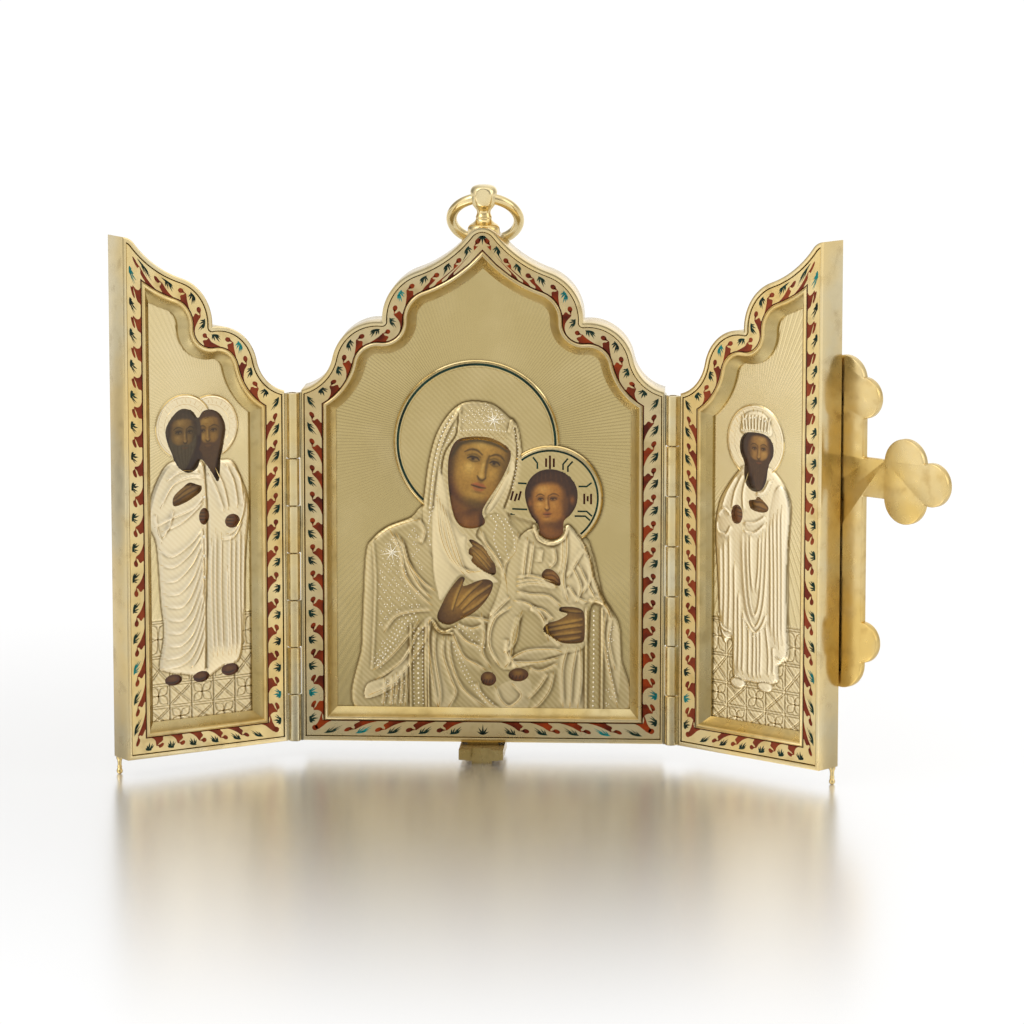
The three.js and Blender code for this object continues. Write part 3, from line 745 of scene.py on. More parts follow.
def make_finishes() -> Finishes:
    """Makes the finishes."""
    return Finishes(
        gilt=GiltSilver().build(),
        bright=GiltSilver("burnished_gilt", "#E0C484", "#E6D4A4", "#A07C38", 0.14, 0.5).build(),
        band=GiltSilver("stoned_gilt_band", "#CDB683", "#CFBE94", "#96804C", 0.3, 0.25).build(),
        # The wings' band is a paler copy of the centre's gilt: painted light, as the wings face more of the
        # light.
        wing_band=GiltSilver("stoned_gilt_wing_band_painted_light", "#E4C886", "#E2CE9A", "#AE8E4C", 0.36, 0.25).build(),
        # The bevel takes a darker copy of the band's gilt: painted shade on its slope down into the opening.
        bevel=GiltSilver("gilt_bevel_painted_shade", "#B9A26A", "#BFAE80", "#7E6836", 0.27, 0.3).build(),
        rust=Enamel("rust_enamel", "#8C3203", "#4C1502").build(),
        brick=Enamel("brick_enamel", "#8E3C1A", "#6A2410").build(),
        line=Enamel("brown_line_enamel", "#4A1A04", "#2C0E02").build(),
        green=Enamel("green_enamel", "#16362A", "#0C2016").build(),
        turquoise=Enamel("turquoise_enamel", "#1E8680", "#0F6664").build(),
        paint=VarnishedPaint().build(),
        board=VarnishedPaint("varnished_board", BOARD_BROWN).build(),
        # The beads' near-white gilt is a painted highlight: the glint of tiny beads.
        bead=GiltSilver("pale_beads_painted_highlight", "#F6EED8", "#F8F2E2", "#D8C698", 0.36, 0.5).build(),
        hinge=GiltSilver("worn_hinge_gilt", "#D2BC86", "#CFC4A2", "#8E7444", 0.2, 0.3).build(),
        catch=GiltSilver("worn_catch_gilt", "#A88C4C", "#B09A66", "#5C4618", 0.24, 0.3).build(),
        cross=GiltSilver("brushed_cross_gilt", "#DCBC72", "#DCC692", "#9C7430", 0.3, 0.25).build(),
    )


# ---------------------------------------------------------------- cases and frames


@dataclass
class CaseMaker:
    """A shallow tray with softened edges, open to the front."""

    panel: Panel
    finishes: Finishes
    edge: float = 0.14

    def build(self) -> None:
        """Makes the case in place of the plain one."""
        p, s, e, depth = self.panel, SIZES, self.edge, self.panel.depth
        profile = [
            (s.rim, depth - s.back_wall),
            (s.rim, e),
            (s.rim - e * 0.3, e * 0.3),
            (s.rim - e, 0.0),
            (e, 0.0),
            (e * 0.3, e * 0.3),
            (0.0, e),
            (0.0, depth - 2 * e),
            (0.6 * e, depth - 0.6 * e),
            (2 * e, depth),
        ]
        rings = [p.outline(inset) for inset, _ in profile]
        count = len(rings[0])
        vertices = np.vstack([p.place(r[:, 0], y, r[:, 1]) for r, (_, y) in zip(rings, profile)])
        faces = ring_faces(len(rings), count, closed=False)
        faces.append(list(range(count)))
        faces.append(list(range((len(rings) - 1) * count, len(rings) * count))[::-1])
        piece = make_piece(
            f"{p.name}_case_shell", vertices, faces, self.finishes.gilt, p.body, 38, weld=True
        )
        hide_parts(f"{p.name}_case")


@dataclass
class FrameMaker:
    """The flat band for the enamel, a raised lip and the hollow bevel down to the relief."""

    panel: Panel
    finishes: Finishes

    def profile(self) -> list[Point]:
        """The frame's section, as insets and depths."""
        s = SIZES
        lip_start, lip_end = s.band_inside, s.band_inside + s.lip
        points = [
            (s.band_outside, 2.6),
            (s.band_outside, s.band_y + 0.05),
            (s.band_outside + 0.05, s.band_y),
            (lip_start - 0.02, s.band_y),
            (lip_start + 0.04, s.band_y + 0.06),
            (lip_start + 0.1, s.band_y),
            (lip_start + 0.26, s.band_y - 0.12),
            (lip_start + 0.46, s.band_y - 0.19),
            (lip_start + 0.64, s.band_y - 0.16),
            (lip_end, s.band_y),
            (lip_end + 0.06, s.band_y + 0.12),
        ]
        steps = 6
        for i in range(1, steps + 1):
            t = i / steps
            drop = s.band_y + 0.12 + (s.bevel_foot - s.band_y - 0.12) * (t**0.8)
            points.append((lip_end + 0.06 + (s.bevel - 0.06) * t, drop))
        points.append((s.sight, 2.6))
        return points

    def build(self) -> None:
        """Makes the frame in place of the plain one."""
        p, profile = self.panel, self.profile()
        rings = [p.outline(inset) for inset, _ in profile]
        vertices = np.vstack([p.place(r[:, 0], y, r[:, 1]) for r, (_, y) in zip(rings, profile)])
        faces = ring_faces(len(rings), len(rings[0]), closed=True)
        # The wings' paler band gilt is painted light.
        finish = self.finishes.band if p.side is Side.CENTRE else self.finishes.wing_band
        piece = make_piece(
            f"{p.name}_moulded_frame", vertices, faces, finish, p.body, 38, weld=True
        )
        # The bevel's darker gilt is painted shade on the slope down into the opening.
        piece.data.materials.append(self.finishes.bevel)
        for polygon in piece.data.polygons:
            middle = np.array(polygon.center) / MM
            if p.depth_at(middle) > SIZES.band_y + 0.2 and polygon.area > 0:
                polygon.material_index = 1
        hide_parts(f"{p.name}_enamel_frame")


# ---------------------------------------------------------------- the enamel leaf border


@dataclass
class BandRun:
    """A stretch of the enamel band, along which the leaf border repeats."""

    panel: Panel
    path: Callable[[float], Array]
    leaves: int
    forward: bool
    mirror: bool = False
    margin: float = 0.0
    lead: float = 0.0

    def __post_init__(self) -> None:
        """Lays out the stretch at several insets, so that a motif can be bent along it."""
        width = SIZES.band_inside - SIZES.band_outside
        self.widths = np.linspace(0.0, width, 6)
        self.rows = [self.path(SIZES.band_outside + t) for t in self.widths]
        middle = self.path(SIZES.band_outside + width / 2)
        steps = np.hypot(*np.diff(middle, axis=0).T)
        self.distance = np.concatenate([[0.0], np.cumsum(steps)])
        self.length = float(self.distance[-1])

    def bend(self, points: Array) -> Array:
        """From points as (along, in from the band's outer edge) to the panel's plane."""
        along = points[:, 0] if self.forward else self.length - points[:, 0]
        index = np.interp(along, self.distance, np.arange(len(self.distance)))
        low = np.clip(np.floor(index).astype(int), 0, len(self.distance) - 2)
        part = (index - low)[:, None]
        level = np.clip(points[:, 1] / self.widths[1], 0, len(self.widths) - 1.001)
        result = np.zeros((len(points), 2))
        for k, row in enumerate(self.rows):
            weight = np.clip(1 - np.abs(level - k), 0, 1)[:, None]
            result += weight * (row[low] * (1 - part) + row[low + 1] * part)
        if self.mirror:
            result[:, 0] *= -1
        return result


@dataclass
class LeafBorder:
    """Enamel commas and small palmettes, as the border's repeat has them."""

    panel: Panel
    finishes: Finishes
    pitch: float = 5.6
    rise: float = 0.03
    cells: dict[str, list[Array]] = field(default_factory=dict)

    def comma(self, scale: float) -> list[Array]:
        """The ball and the leaf that tapers along the band's inner edge."""
        k = scale
        ball = disc(0.0, 1.32, 0.58 * k, 0.48, 0, 20)
        neck = np.array(
            [(0.3 * k, 1.02), (0.85 * k, 1.26), (1.32 * k, 1.34), (0.9 * k, 1.46), (0.34 * k, 1.62)],
        )
        leaf = rounded(
            [(1.25 * k, 1.3), (1.0 * k, 1.6), (0.9 * k, 1.84), (0.56 * k, 2.04), (0.34 * k, 2.38),
             (0.6 * k, 2.7), (0.86 * k, 2.98), (0.8 * k, 3.22), (2.6 * k, 3.25), (4.0 * k, 3.25),
             (4.9 * k, 3.25), (4.0 * k, 3.02), (3.1 * k, 2.72), (2.15 * k, 2.16), (1.62 * k, 1.62)], 3,
        )
        return [ball, neck, leaf]

    def palmette(self, scale: float) -> list[Array]:
        """Pointed blades that spring from the band's outer edge and sweep along it."""
        k = scale
        palm = np.array(
            [(1.95 * k, 0.5), (2.1 * k, 0.85), (2.5 * k, 1.0), (3.1 * k, 0.96), (3.25 * k, 0.6),
             (2.6 * k, 0.48)],
        )
        roots = [(2.25 * k, 0.74), (2.45 * k, 0.84), (2.75 * k, 0.86), (2.95 * k, 0.8), (3.1 * k, 0.68)]
        tips = [(2.1 * k, 1.65), (2.75 * k, 1.95), (3.9 * k, 2.2), (4.05 * k, 1.66), (3.85 * k, 1.12)]
        return [palm] + [self.blade(root, tip, 0.17) for root, tip in zip(roots, tips)]

    @staticmethod
    def blade(root: Point, tip: Point, half_width: float) -> Array:
        """One pointed leaf blade from root to tip."""
        a, b = np.array(root), np.array(tip)
        along = b - a
        across = np.array([-along[1], along[0]]) / np.hypot(*along) * half_width
        return np.array(
            [a - across * 0.35, a + along * 0.35 - across, b, a + along * 0.35 + across, a + across * 0.35]
        )

    def add(self, kind: str, run: BandRun, outlines: list[Array], shift: float) -> None:
        """Bends a motif's outlines along the band and keeps them under one enamel."""
        for outline in outlines:
            moved = outline + [shift, 0.0]
            self.cells.setdefault(kind, []).append(run.bend(moved))

    def fill(self, run: BandRun, main: str) -> None:
        """Repeats the border along one stretch."""
        lead = run.lead or run.margin
        pitch = (run.length - lead - run.margin) / run.leaves
        scale = pitch / self.pitch
        for i in range(-1 if run.lead > pitch / 2 else 0, run.leaves):
            start = lead + i * pitch + 0.3 * scale
            if i >= 0:
                self.add(main, run, self.comma(scale), start)
            colour = "turquoise" if (i * 7 + run.leaves) % 13 == 4 else "green"
            self.add(colour, run, self.palmette(scale), start)
        steps = np.linspace(0, run.length, 120)
        inner = np.column_stack([steps, np.full(120, 3.1)])
        outer = np.column_stack([steps[::-1], np.full(120, 3.34)])
        self.add("line", run, [np.vstack([inner, outer])], 0.0)

    def corner(self, main: str, mirror: int) -> None:
        """The ball and neck in a lower corner, drawn towards the corner from the band's inner edge."""
        p, low = self.panel, OGEE.side_at(SIZES.band_outside)
        foot = SIZES.band_outside
        neck = rounded(
            [(3.3, 4.9), (2.9, 4.1), (2.65, 3.3), (2.2, 2.5), (1.7, 1.9), (2.3, 1.25), (3.3, 1.9), (4.3, 2.7),
             (5.4, 3.25), (3.4, 3.3)], 3,
        )
        for shape in (disc(1.75, 1.6, 0.62, 0.58), neck):
            rows = np.column_stack([low - shape[:, 0], foot + shape[:, 1]])
            placed = rows * [mirror, 1] if p.side is Side.CENTRE else p.spread(rows)
            self.cells.setdefault(main, []).append(placed)

    def upright(self, x: float, z: float, up: int, scale: float = 1.0) -> None:
        """A lone symmetric palmette."""
        for degrees in (-62, -32, 0, 32, 62):
            angle = math.radians(degrees)
            reach = (1.95 - abs(degrees) * 0.011) * scale
            tip = (x + reach * math.sin(angle), z + up * reach * math.cos(angle))
            self.cells.setdefault("green", []).append(self.blade((x, z), tip, 0.2))

    def stop(self, inset: float) -> float:
        """How far off the closed triptych's centre line the band's outline ends."""
        return 0.0 if self.panel.side is Side.CENTRE else SIZES.free_edge + inset

    def hinge_side(self, inset: float) -> Array:
        """The upright stretch beside a hinge, from its foot."""
        top = OGEE.crown(inset, self.stop(inset))[0]
        return self.panel.spread(np.linspace([OGEE.side_at(inset), inset], top, 60))

    def free_side(self, inset: float) -> Array:
        """The upright stretch at a wing's free edge, from its foot."""
        stop = self.stop(inset)
        return self.panel.spread(np.linspace([stop, inset], OGEE.crown(inset, stop)[-1], 80))

    def base(self, inset: float) -> Array:
        """The level stretch at the foot, from the middle or the free edge."""
        return self.panel.spread(np.linspace([self.stop(inset), inset], [OGEE.side_at(inset), inset], 60))

    def crown(self, inset: float) -> Array:
        """The curved stretch, from the hinge's side."""
        return self.panel.spread(OGEE.crown(inset, self.stop(inset)))

    def runs(self) -> list[BandRun]:
        """The stretches of this panel's band, each with its number of leaves."""
        p = self.panel
        if p.side is Side.CENTRE:
            runs = []
            for mirror in (False, True):
                runs.append(BandRun(p, self.hinge_side, 12, False, mirror, margin=0.1, lead=3.1))
                runs.append(BandRun(p, self.base, 4, False, mirror, margin=2.9, lead=6.7))
                runs.append(BandRun(p, self.crown, 9, False, mirror, margin=0.5))
            return runs
        return [
            BandRun(p, self.hinge_side, 12, False, margin=0.1, lead=3.1),
            BandRun(p, self.free_side, 16, True, margin=0.8),
            BandRun(p, self.base, 5, False, margin=0.6, lead=6.9),
            BandRun(p, self.crown, 8, False, margin=0.6),
        ]

    def build(self) -> None:
        """Makes one mesh of prisms for each enamel."""
        p, s = self.panel, SIZES
        main = "rust" if p.side is Side.CENTRE else "brick"
        for run in self.runs():
            self.fill(run, main)
        self.corner(main, 1)
        if p.side is Side.CENTRE:
            self.corner(main, -1)
            self.upright(0.0, s.band_outside + 0.5, 1, 1.15)
            self.upright(0.0, 105.6, -1)
        materials = {
            "rust": self.finishes.rust,
            "brick": self.finishes.brick,
            "line": self.finishes.line,
            "green": self.finishes.green,
            "turquoise": self.finishes.turquoise,
        }
        for kind, cells in self.cells.items():
            make_prisms(
                f"{p.name}_{kind}_enamel", p, cells, s.band_y - self.rise, s.band_y + 0.04, materials[kind]
            )


def make_prisms(
    name: str, panel: Panel, cells: list[Array], front: float, back: float, material: bpy.types.Material
) -> bpy.types.Object:
    """Makes low prisms from outlines in a panel's plane, facing the front."""
    vertices, faces, start = [], [], 0
    for cell in cells:
        area = 0.5 * np.sum(cell[:, 0] * np.roll(cell[:, 1], -1) - np.roll(cell[:, 0], -1) * cell[:, 1])
        loop = cell if area > 0 else cell[::-1]
        count = len(loop)
        vertices.append(panel.place(loop[:, 0], front, loop[:, 1]))
        vertices.append(panel.place(loop[:, 0], back, loop[:, 1]))
        faces.append(list(range(start, start + count)))
        for j in range(count):
            k = (j + 1) % count
            faces.append([start + j, start + count + j, start + count + k, start + k])
        faces.append(list(range(start + 2 * count - 1, start + count - 1, -1)))
        start += 2 * count
    return make_piece(name, np.vstack(vertices), faces, material, panel.body, None)


# ---------------------------------------------------------------- embossed plates


@dataclass
class Canvas:
    """The surface of a plate: its height over the ground and where each finish lies, at many points."""

    x: Array
    z: Array

    LOW: ClassVar[float] = 0.4

    def __post_init__(self) -> None:
        """Starts with a flat, engine-turned ground."""
        self.height = np.zeros(self.x.shape)
        self.pale = np.zeros(self.x.shape)
        self.turned = np.ones(self.x.shape)
        self.matt = np.zeros(self.x.shape)
        self.ridges: list[Path] = []

    def near(self, outline: Array, reach: float) -> Array:
        """The points within reach of an outline's box, as a mask."""
        low, high = outline.min(0) - reach, outline.max(0) + reach
        return (self.x > low[0]) & (self.x < high[0]) & (self.z > low[1]) & (self.z < high[1])

    def form(
        self, outline: Array, level: float, edge: float = 0.7, bulge: float = 0.0, spread: float = 4.0,
        pale: float | None = None, matt: float | None = None,
    ) -> None:
        """Lays a form of its own height over what is there.

        Args:
            outline: its closed outline.
            level: its height over the ground.
            edge: how far in its edge is rounded.
            bulge: how much higher its middle stands.
            spread: how far in the bulge grows.
            pale: how thin its gilding is, or None to leave that as it is.
            matt: how matt it is, or None to leave that as it is.
        """
        m = self.near(outline, 0.5)
        gap = inside_distance(self.x[m], self.z[m], outline)
        share = np.sqrt(np.clip(gap / (0.6 * edge), 0.0, 1.0)) * (gap > 0)
        target = self.LOW * (level + bulge * (1 - np.exp(-np.maximum(gap, 0) / spread)))
        self.height[m] = self.height[m] * (1 - share) + target * share
        inside = smoothstep(-0.15, 0.15, gap)
        self.turned[m] *= 1 - inside
        if pale is not None:
            self.pale[m] = self.pale[m] * (1 - inside) + pale * inside
        if matt is not None:
            self.matt[m] = self.matt[m] * (1 - inside) + matt * inside

    def tint(self, outline: Array, pale: float, matt: float, soft: float = 0.15) -> None:
        """Changes only the finish inside an outline."""
        m = self.near(outline, 0.5)
        inside = smoothstep(-soft, soft, inside_distance(self.x[m], self.z[m], outline))
        self.pale[m] = self.pale[m] * (1 - inside) + pale * inside
        self.matt[m] = self.matt[m] * (1 - inside) + matt * inside

    def fold(self, path: Path, height: float = 0.22, width: float = 0.42, lee: float = 1.0) -> None:
        """A low ridge that falls off sharply on its left and slowly on its right, and fades at both ends."""
        curve = catmull(path, False, 6)
        m = self.near(curve, 3 * max(width, lee))
        gap, along, side = path_distance(self.x[m], self.z[m], curve)
        fade = smoothstep(0.0, 0.12, along) * (1 - smoothstep(0.86, 1.0, along))
        fall = np.where(side > 0, np.exp(-((gap / lee) ** 1.5)), np.exp(-((gap / width) ** 2)))
        self.height[m] += 0.54 * height * fade * fall
        self.pale[m] = np.clip(self.pale[m] + 0.4 * fade * fall, 0, 1)
        self.ridges.append(path)

    def line(self, path: Path, height: float = 0.14, width: float = 0.16, smooth: bool = True) -> None:
        """A fine raised or, below 0, engraved line."""
        curve = catmull(path, False, 6) if smooth else np.asarray(path, float)
        m = self.near(curve, 3 * width)
        gap, _, _ = path_distance(self.x[m], self.z[m], curve)
        self.height[m] += height * np.exp(-((gap / width) ** 2))

    def folds(self, paths: list[Path], height: float, width: float, lee: float) -> None:
        """Folds of one kind along several paths."""
        for path in paths:
            self.fold(path, height, width, lee)

    def halo(
        self, x: float, z: float, radius: float, level: float, rim: float = 0.75, pale: float = 0.35
    ) -> None:
        """A flat disc with a soft edge."""
        reach = np.hypot(self.x - x, self.z - z)
        inside = reach < radius
        self.height = np.where(inside, level * (1 - smoothstep(radius - rim, radius, reach)), self.height)
        self.turned = np.where(inside, 0.0, self.turned)
        self.pale = np.where(inside, pale, self.pale)
        self.matt = np.where(inside, 0.25, self.matt)

    def hollows(self, columns: int) -> Array:
        """How dirty each point is, with painted shade: much where it lies lower than what is around it.

        What stands higher than its surroundings is rubbed paler.
        """
        rows = self.height.reshape(-1, columns)
        blurred = rows.copy()
        for _ in range(6):
            padded = np.pad(blurred, 1, mode="edge")
            around = padded[:-2, 1:-1] + padded[2:, 1:-1] + padded[1:-1, :-2] + padded[1:-1, 2:]
            blurred = (around + blurred) / 5
        lower = (blurred - rows).ravel()
        self.pale = np.clip(self.pale + np.clip(-lower * 8.0, 0.0, 0.4), 0.0, 1.0)
        return np.clip(lower * 19.0, 0.0, 0.85)


@dataclass
class Plate:
    """An embossed plate: a fine mesh of its surface, cut at its openings, with a thin turned edge.

    Openings and figures are given in distances off the closed triptych's centre line.
    """

    panel: Panel
    cell: float
    holes: list[Array]
    draw: Callable[[Canvas], None]
    finish: EmbossedGilt

    TUCK: ClassVar[float] = 0.5
    SNAP_SHARE: ClassVar[float] = 0.62
    KEEP_SHARE: ClassVar[float] = 0.12

    def __post_init__(self) -> None:
        """Opens the holes out into the panel's own plane."""
        self.cuts = [self.panel.spread(hole) for hole in self.holes]

    def solid(self, x: Array, z: Array) -> Array:
        """The distance to the nearest edge of the sheet, above 0 on it."""
        distance = inside_distance(x, z, self.panel.outline(SIZES.sight - self.TUCK))
        for hole in self.cuts:
            low, high = hole.min(0) - 1.5, hole.max(0) + 1.5
            m = (x > low[0]) & (x < high[0]) & (z > low[1]) & (z < high[1])
            distance[m] = np.minimum(distance[m], -inside_distance(x[m], z[m], hole))
        return distance

    def snapped_grid(self) -> tuple[Array, Array, Array]:
        """A fine grid over the sheet, whose points beside an edge are moved on to it.

        Returns:
            The points' x and z, and how far each lies inside the nearest edge.
        """
        cell = self.cell
        border = self.panel.outline(SIZES.sight - self.TUCK)
        xs = np.arange(border[:, 0].min() - cell, border[:, 0].max() + 2 * cell, cell)
        zs = np.arange(border[:, 1].min() - cell, border[:, 1].max() + 2 * cell, cell)
        self.corner, self.columns = (xs[0], zs[0]), len(xs)
        grid_x, grid_z = (g.ravel().copy() for g in np.meshgrid(xs, zs))
        distance = self.solid(grid_x, grid_z)
        slopes = np.gradient(distance.reshape(len(zs), len(xs)), cell)
        slope_z, slope_x = (g.ravel() for g in slopes)
        steep = np.maximum(np.hypot(slope_x, slope_z), 0.3)
        for _ in range(2):
            close = np.abs(distance) < self.SNAP_SHARE * cell
            grid_x[close] -= distance[close] * slope_x[close] / steep[close] ** 2
            grid_z[close] -= distance[close] * slope_z[close] / steep[close] ** 2
            distance[close] = self.solid(grid_x[close], grid_z[close])
        return grid_x, grid_z, distance

    def triangles(self, distance: Array) -> tuple[Array, Array]:
        """Two triangles in each cell of the grid that lies on the sheet.

        Args:
            distance: how far each point of the grid lies inside the nearest edge.

        Returns:
            The triangles, numbered over the points that they use, and those points' numbers in the grid.
        """
        index = np.arange(len(distance)).reshape(-1, self.columns)
        a, b, c, d = (q.ravel() for q in (index[:-1, :-1], index[:-1, 1:], index[1:, 1:], index[1:, :-1]))
        rows = np.vstack([np.column_stack([a, b, c]), np.column_stack([a, c, d])])
        rows = rows[(distance[rows] > -self.KEEP_SHARE * self.cell).all(1)]
        used = np.unique(rows)
        renumber = np.full(len(distance), -1)
        renumber[used] = np.arange(len(used))
        return renumber[rows], used

    @staticmethod
    def turned_edge(triangles: Array, count: int) -> tuple[Array, Array]:
        """The sheet's thickness along its free edges.

        Args:
            triangles: the sheet's triangles.
            count: how many points the sheet has.

        Returns:
            The walls, and the numbers of the points that are repeated behind the sheet.
        """
        edges = np.vstack([triangles[:, [0, 1]], triangles[:, [1, 2]], triangles[:, [2, 0]]])
        keys = np.sort(edges, axis=1)
        _, first, counts = np.unique(keys, axis=0, return_index=True, return_counts=True)
        rim = edges[first[counts == 1]]
        repeated = np.unique(rim)
        behind = np.full(count, -1)
        behind[repeated] = count + np.arange(len(repeated))
        walls = np.column_stack([rim[:, 1], rim[:, 0], behind[rim[:, 0]], behind[rim[:, 1]]])
        return walls, repeated

    def build(self) -> None:
        """Makes the plate in place of the plain one."""
        p = self.panel
        grid_x, grid_z, distance = self.snapped_grid()
        self.canvas = Canvas(np.asarray(p.off_centre(grid_x)), grid_z)
        self.draw(self.canvas)
        # How dark each hollow is made: dirty, and with painted shade as well.
        hollow = self.canvas.hollows(self.columns)
        triangles, used = self.triangles(distance)
        walls, repeated = self.turned_edge(triangles, len(used))
        shown = np.concatenate([used, used[repeated]])
        x, z = grid_x[shown], grid_z[shown]
        y = SIZES.ground_y - self.canvas.height[shown]
        y[len(used) :] = SIZES.ground_y + SIZES.sheet
        attributes = {
            "panel_mm": np.column_stack([x, y, z]),
            "pale": self.canvas.pale[shown],
            "turned": self.canvas.turned[shown],
            "matt": self.canvas.matt[shown],
            "hollow": hollow[shown],
        }
        piece = make_piece(
            f"{p.name}_embossed_plate", p.place(x, y, z), [*triangles, *walls], self.finish.build(), p.body,
            55, attributes,
        )
        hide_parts(f"{p.name}_relief")

    def surface(self, points: Array) -> Array:
        """The sheet's height over the ground at each of a few points."""
        column = np.rint((self.panel.across(points[:, 0]) - self.corner[0]) / self.cell).astype(int)
        row = np.rint((points[:, 1] - self.corner[1]) / self.cell).astype(int)
        return self.canvas.height[np.clip(row * self.columns + column, 0, len(self.canvas.height) - 1)]

    def lay(self, points: Array, depth: Array) -> Array:
        """Points at a depth behind the case's front edge, as metres in the model's frame."""
        return self.panel.place(self.panel.across(points[:, 0]), depth, points[:, 1])


# ---------------------------------------------------------------- applied wires, beads and dots


def smooth_along(values: Array) -> Array:
    """Evens out the values along a path."""
    padded = np.pad(values, 3, mode="edge")
    return np.convolve(padded, np.ones(7) / 7, mode="valid")


@dataclass
class Trim:
    """Fine wires and beads that lie on a plate's surface."""

    plate: Plate
    material: bpy.types.Material
    bead_material: bpy.types.Material
    vertices: list[Array] = field(default_factory=list)
    faces: list[list[int]] = field(default_factory=list)
    beads: list[tuple[float, float, float]] = field(default_factory=list)
    count: int = 0

    BEAD_LIFT: ClassVar[float] = 0.15
    DOT_SPREAD: ClassVar[float] = 0.32

    def wire(self, path: Path, width: float = 0.24, rise: float = 0.12, smooth: bool = True) -> None:
        """Lays a ridged wire along a path."""
        curve = catmull(path, False, 5) if smooth else np.asarray(path, float)
        heights = smooth_along(self.plate.surface(curve))
        across = leftward(np.gradient(curve, axis=0))
        taper = np.ones(len(curve))
        taper[[0, -1]] = 0.3
        across *= taper[:, None]
        rows = []
        for offset, lift in ((-0.5, -0.06), (0.0, rise), (0.5, -0.06)):
            points = curve + across * offset * width
            rows.append(self.plate.lay(points, SIZES.ground_y - heights - lift))
        count = len(curve)
        self.vertices.append(np.stack(rows, 1).reshape(-1, 3))
        for i in range(count - 1):
            a, b = self.count + 3 * i, self.count + 3 * (i + 1)
            self.faces += [[a, a + 1, b + 1, b], [a + 1, a + 2, b + 2, b + 1], [a + 2, a, b, b + 2]]
        last = self.count + 3 * (count - 1)
        self.faces += [[self.count, self.count + 2, self.count + 1], [last, last + 1, last + 2]]
        self.count += 3 * count

    def ridges(self, width: float = 0.2, rise: float = 0.06) -> None:
        """A bright thin edge along each fold."""
        for path in self.plate.canvas.ridges:
            self.wire(path, width, rise)

    def hoop(self, circle: Arc, radius: float, width: float, rise: float, covers: Sequence[Arc] = ()) -> None:
        """A round wire along a circle, where no other disc covers it and nothing stands above it."""
        angle = np.linspace(0, 2 * np.pi, 361)
        x, z = circle.x + radius * np.cos(angle), circle.z + radius * np.sin(angle)
        shown = self.plate.surface(np.column_stack([x, z])) < 0.3
        shown &= self.plate.solid(np.asarray(self.plate.panel.across(x), float), z) > 0.25
        for cover in covers:
            shown &= np.hypot(x - cover.x, z - cover.z) > cover.r
        runs = np.split(np.arange(361), np.nonzero(np.diff(shown.astype(int)))[0] + 1)
        for run in runs:
            if shown[run[0]] and len(run) > 3:
                self.wire(np.column_stack([x[run], z[run]]), width, rise, False)

    def row(self, path: Path, pitch: float, radius: float, offset: float = 0.0) -> None:
        """Sets beads at an even pitch along a path."""
        curve = catmull(path, False, 6)
        lengths = np.concatenate([[0.0], np.cumsum(np.hypot(*np.diff(curve, axis=0).T))])
        places = np.arange(pitch / 2, lengths[-1], pitch)
        x, z = (np.interp(places, lengths, column) for column in curve.T)
        dx, dz = (np.gradient(np.interp(places, lengths, column)) for column in curve.T)
        size = np.maximum(np.hypot(dx, dz), 1e-9)
        for px, pz in zip(x - dz / size * offset, z + dx / size * offset):
            self.beads.append((px, pz, radius))

    def clusters(self, outline: Array, pitch: float, radius: float, seed: int) -> None:
        """Scatters groups of three dots over an outline's inside."""
        random = np.random.default_rng(seed)
        low, high = outline.min(0), outline.max(0)
        for row, z in enumerate(np.arange(low[1], high[1], pitch * 0.8)):
            for x in np.arange(low[0] + (row % 2) * pitch / 2, high[0], pitch):
                px, pz = x + random.uniform(-0.2, 0.2), z + random.uniform(-0.2, 0.2)
                if inside_distance(np.array([px]), np.array([pz]), outline)[0] < 0.5:
                    continue
                turn = random.uniform(0, 2 * math.pi)
                for k in range(3):
                    angle = turn + k * 2 * math.pi / 3
                    dot_x = px + self.DOT_SPREAD * math.cos(angle)
                    self.beads.append((dot_x, pz + self.DOT_SPREAD * math.sin(angle), radius))

    def star(self, x: float, z: float, reach: float) -> None:
        """An eight-pointed star with dots between its points."""
        for k in range(8):
            angle = k * math.pi / 4 + 0.2
            length = reach * (1.0 if k % 2 == 0 else 0.72)
            for part in np.linspace(0.22, 1.0, 7):
                place = (x + length * part * math.cos(angle), z + length * part * math.sin(angle))
                self.beads.append((*place, 0.27 - 0.17 * part))
            between = angle + math.pi / 8
            dot = (x + reach * 0.95 * math.cos(between), z + reach * 0.95 * math.sin(between))
            self.beads.append((*dot, 0.17))
        self.beads.append((x, z, 0.42))

    def build(self) -> None:
        """Makes one mesh of the wires and one of the beads."""
        name = self.plate.panel.name
        if self.vertices:
            make_piece(
                f"{name}_wires", np.vstack(self.vertices), self.faces, self.material, self.plate.panel.body,
                60, weld=True,
            )
        if self.beads:
            self.bead_mesh(f"{name}_beads")

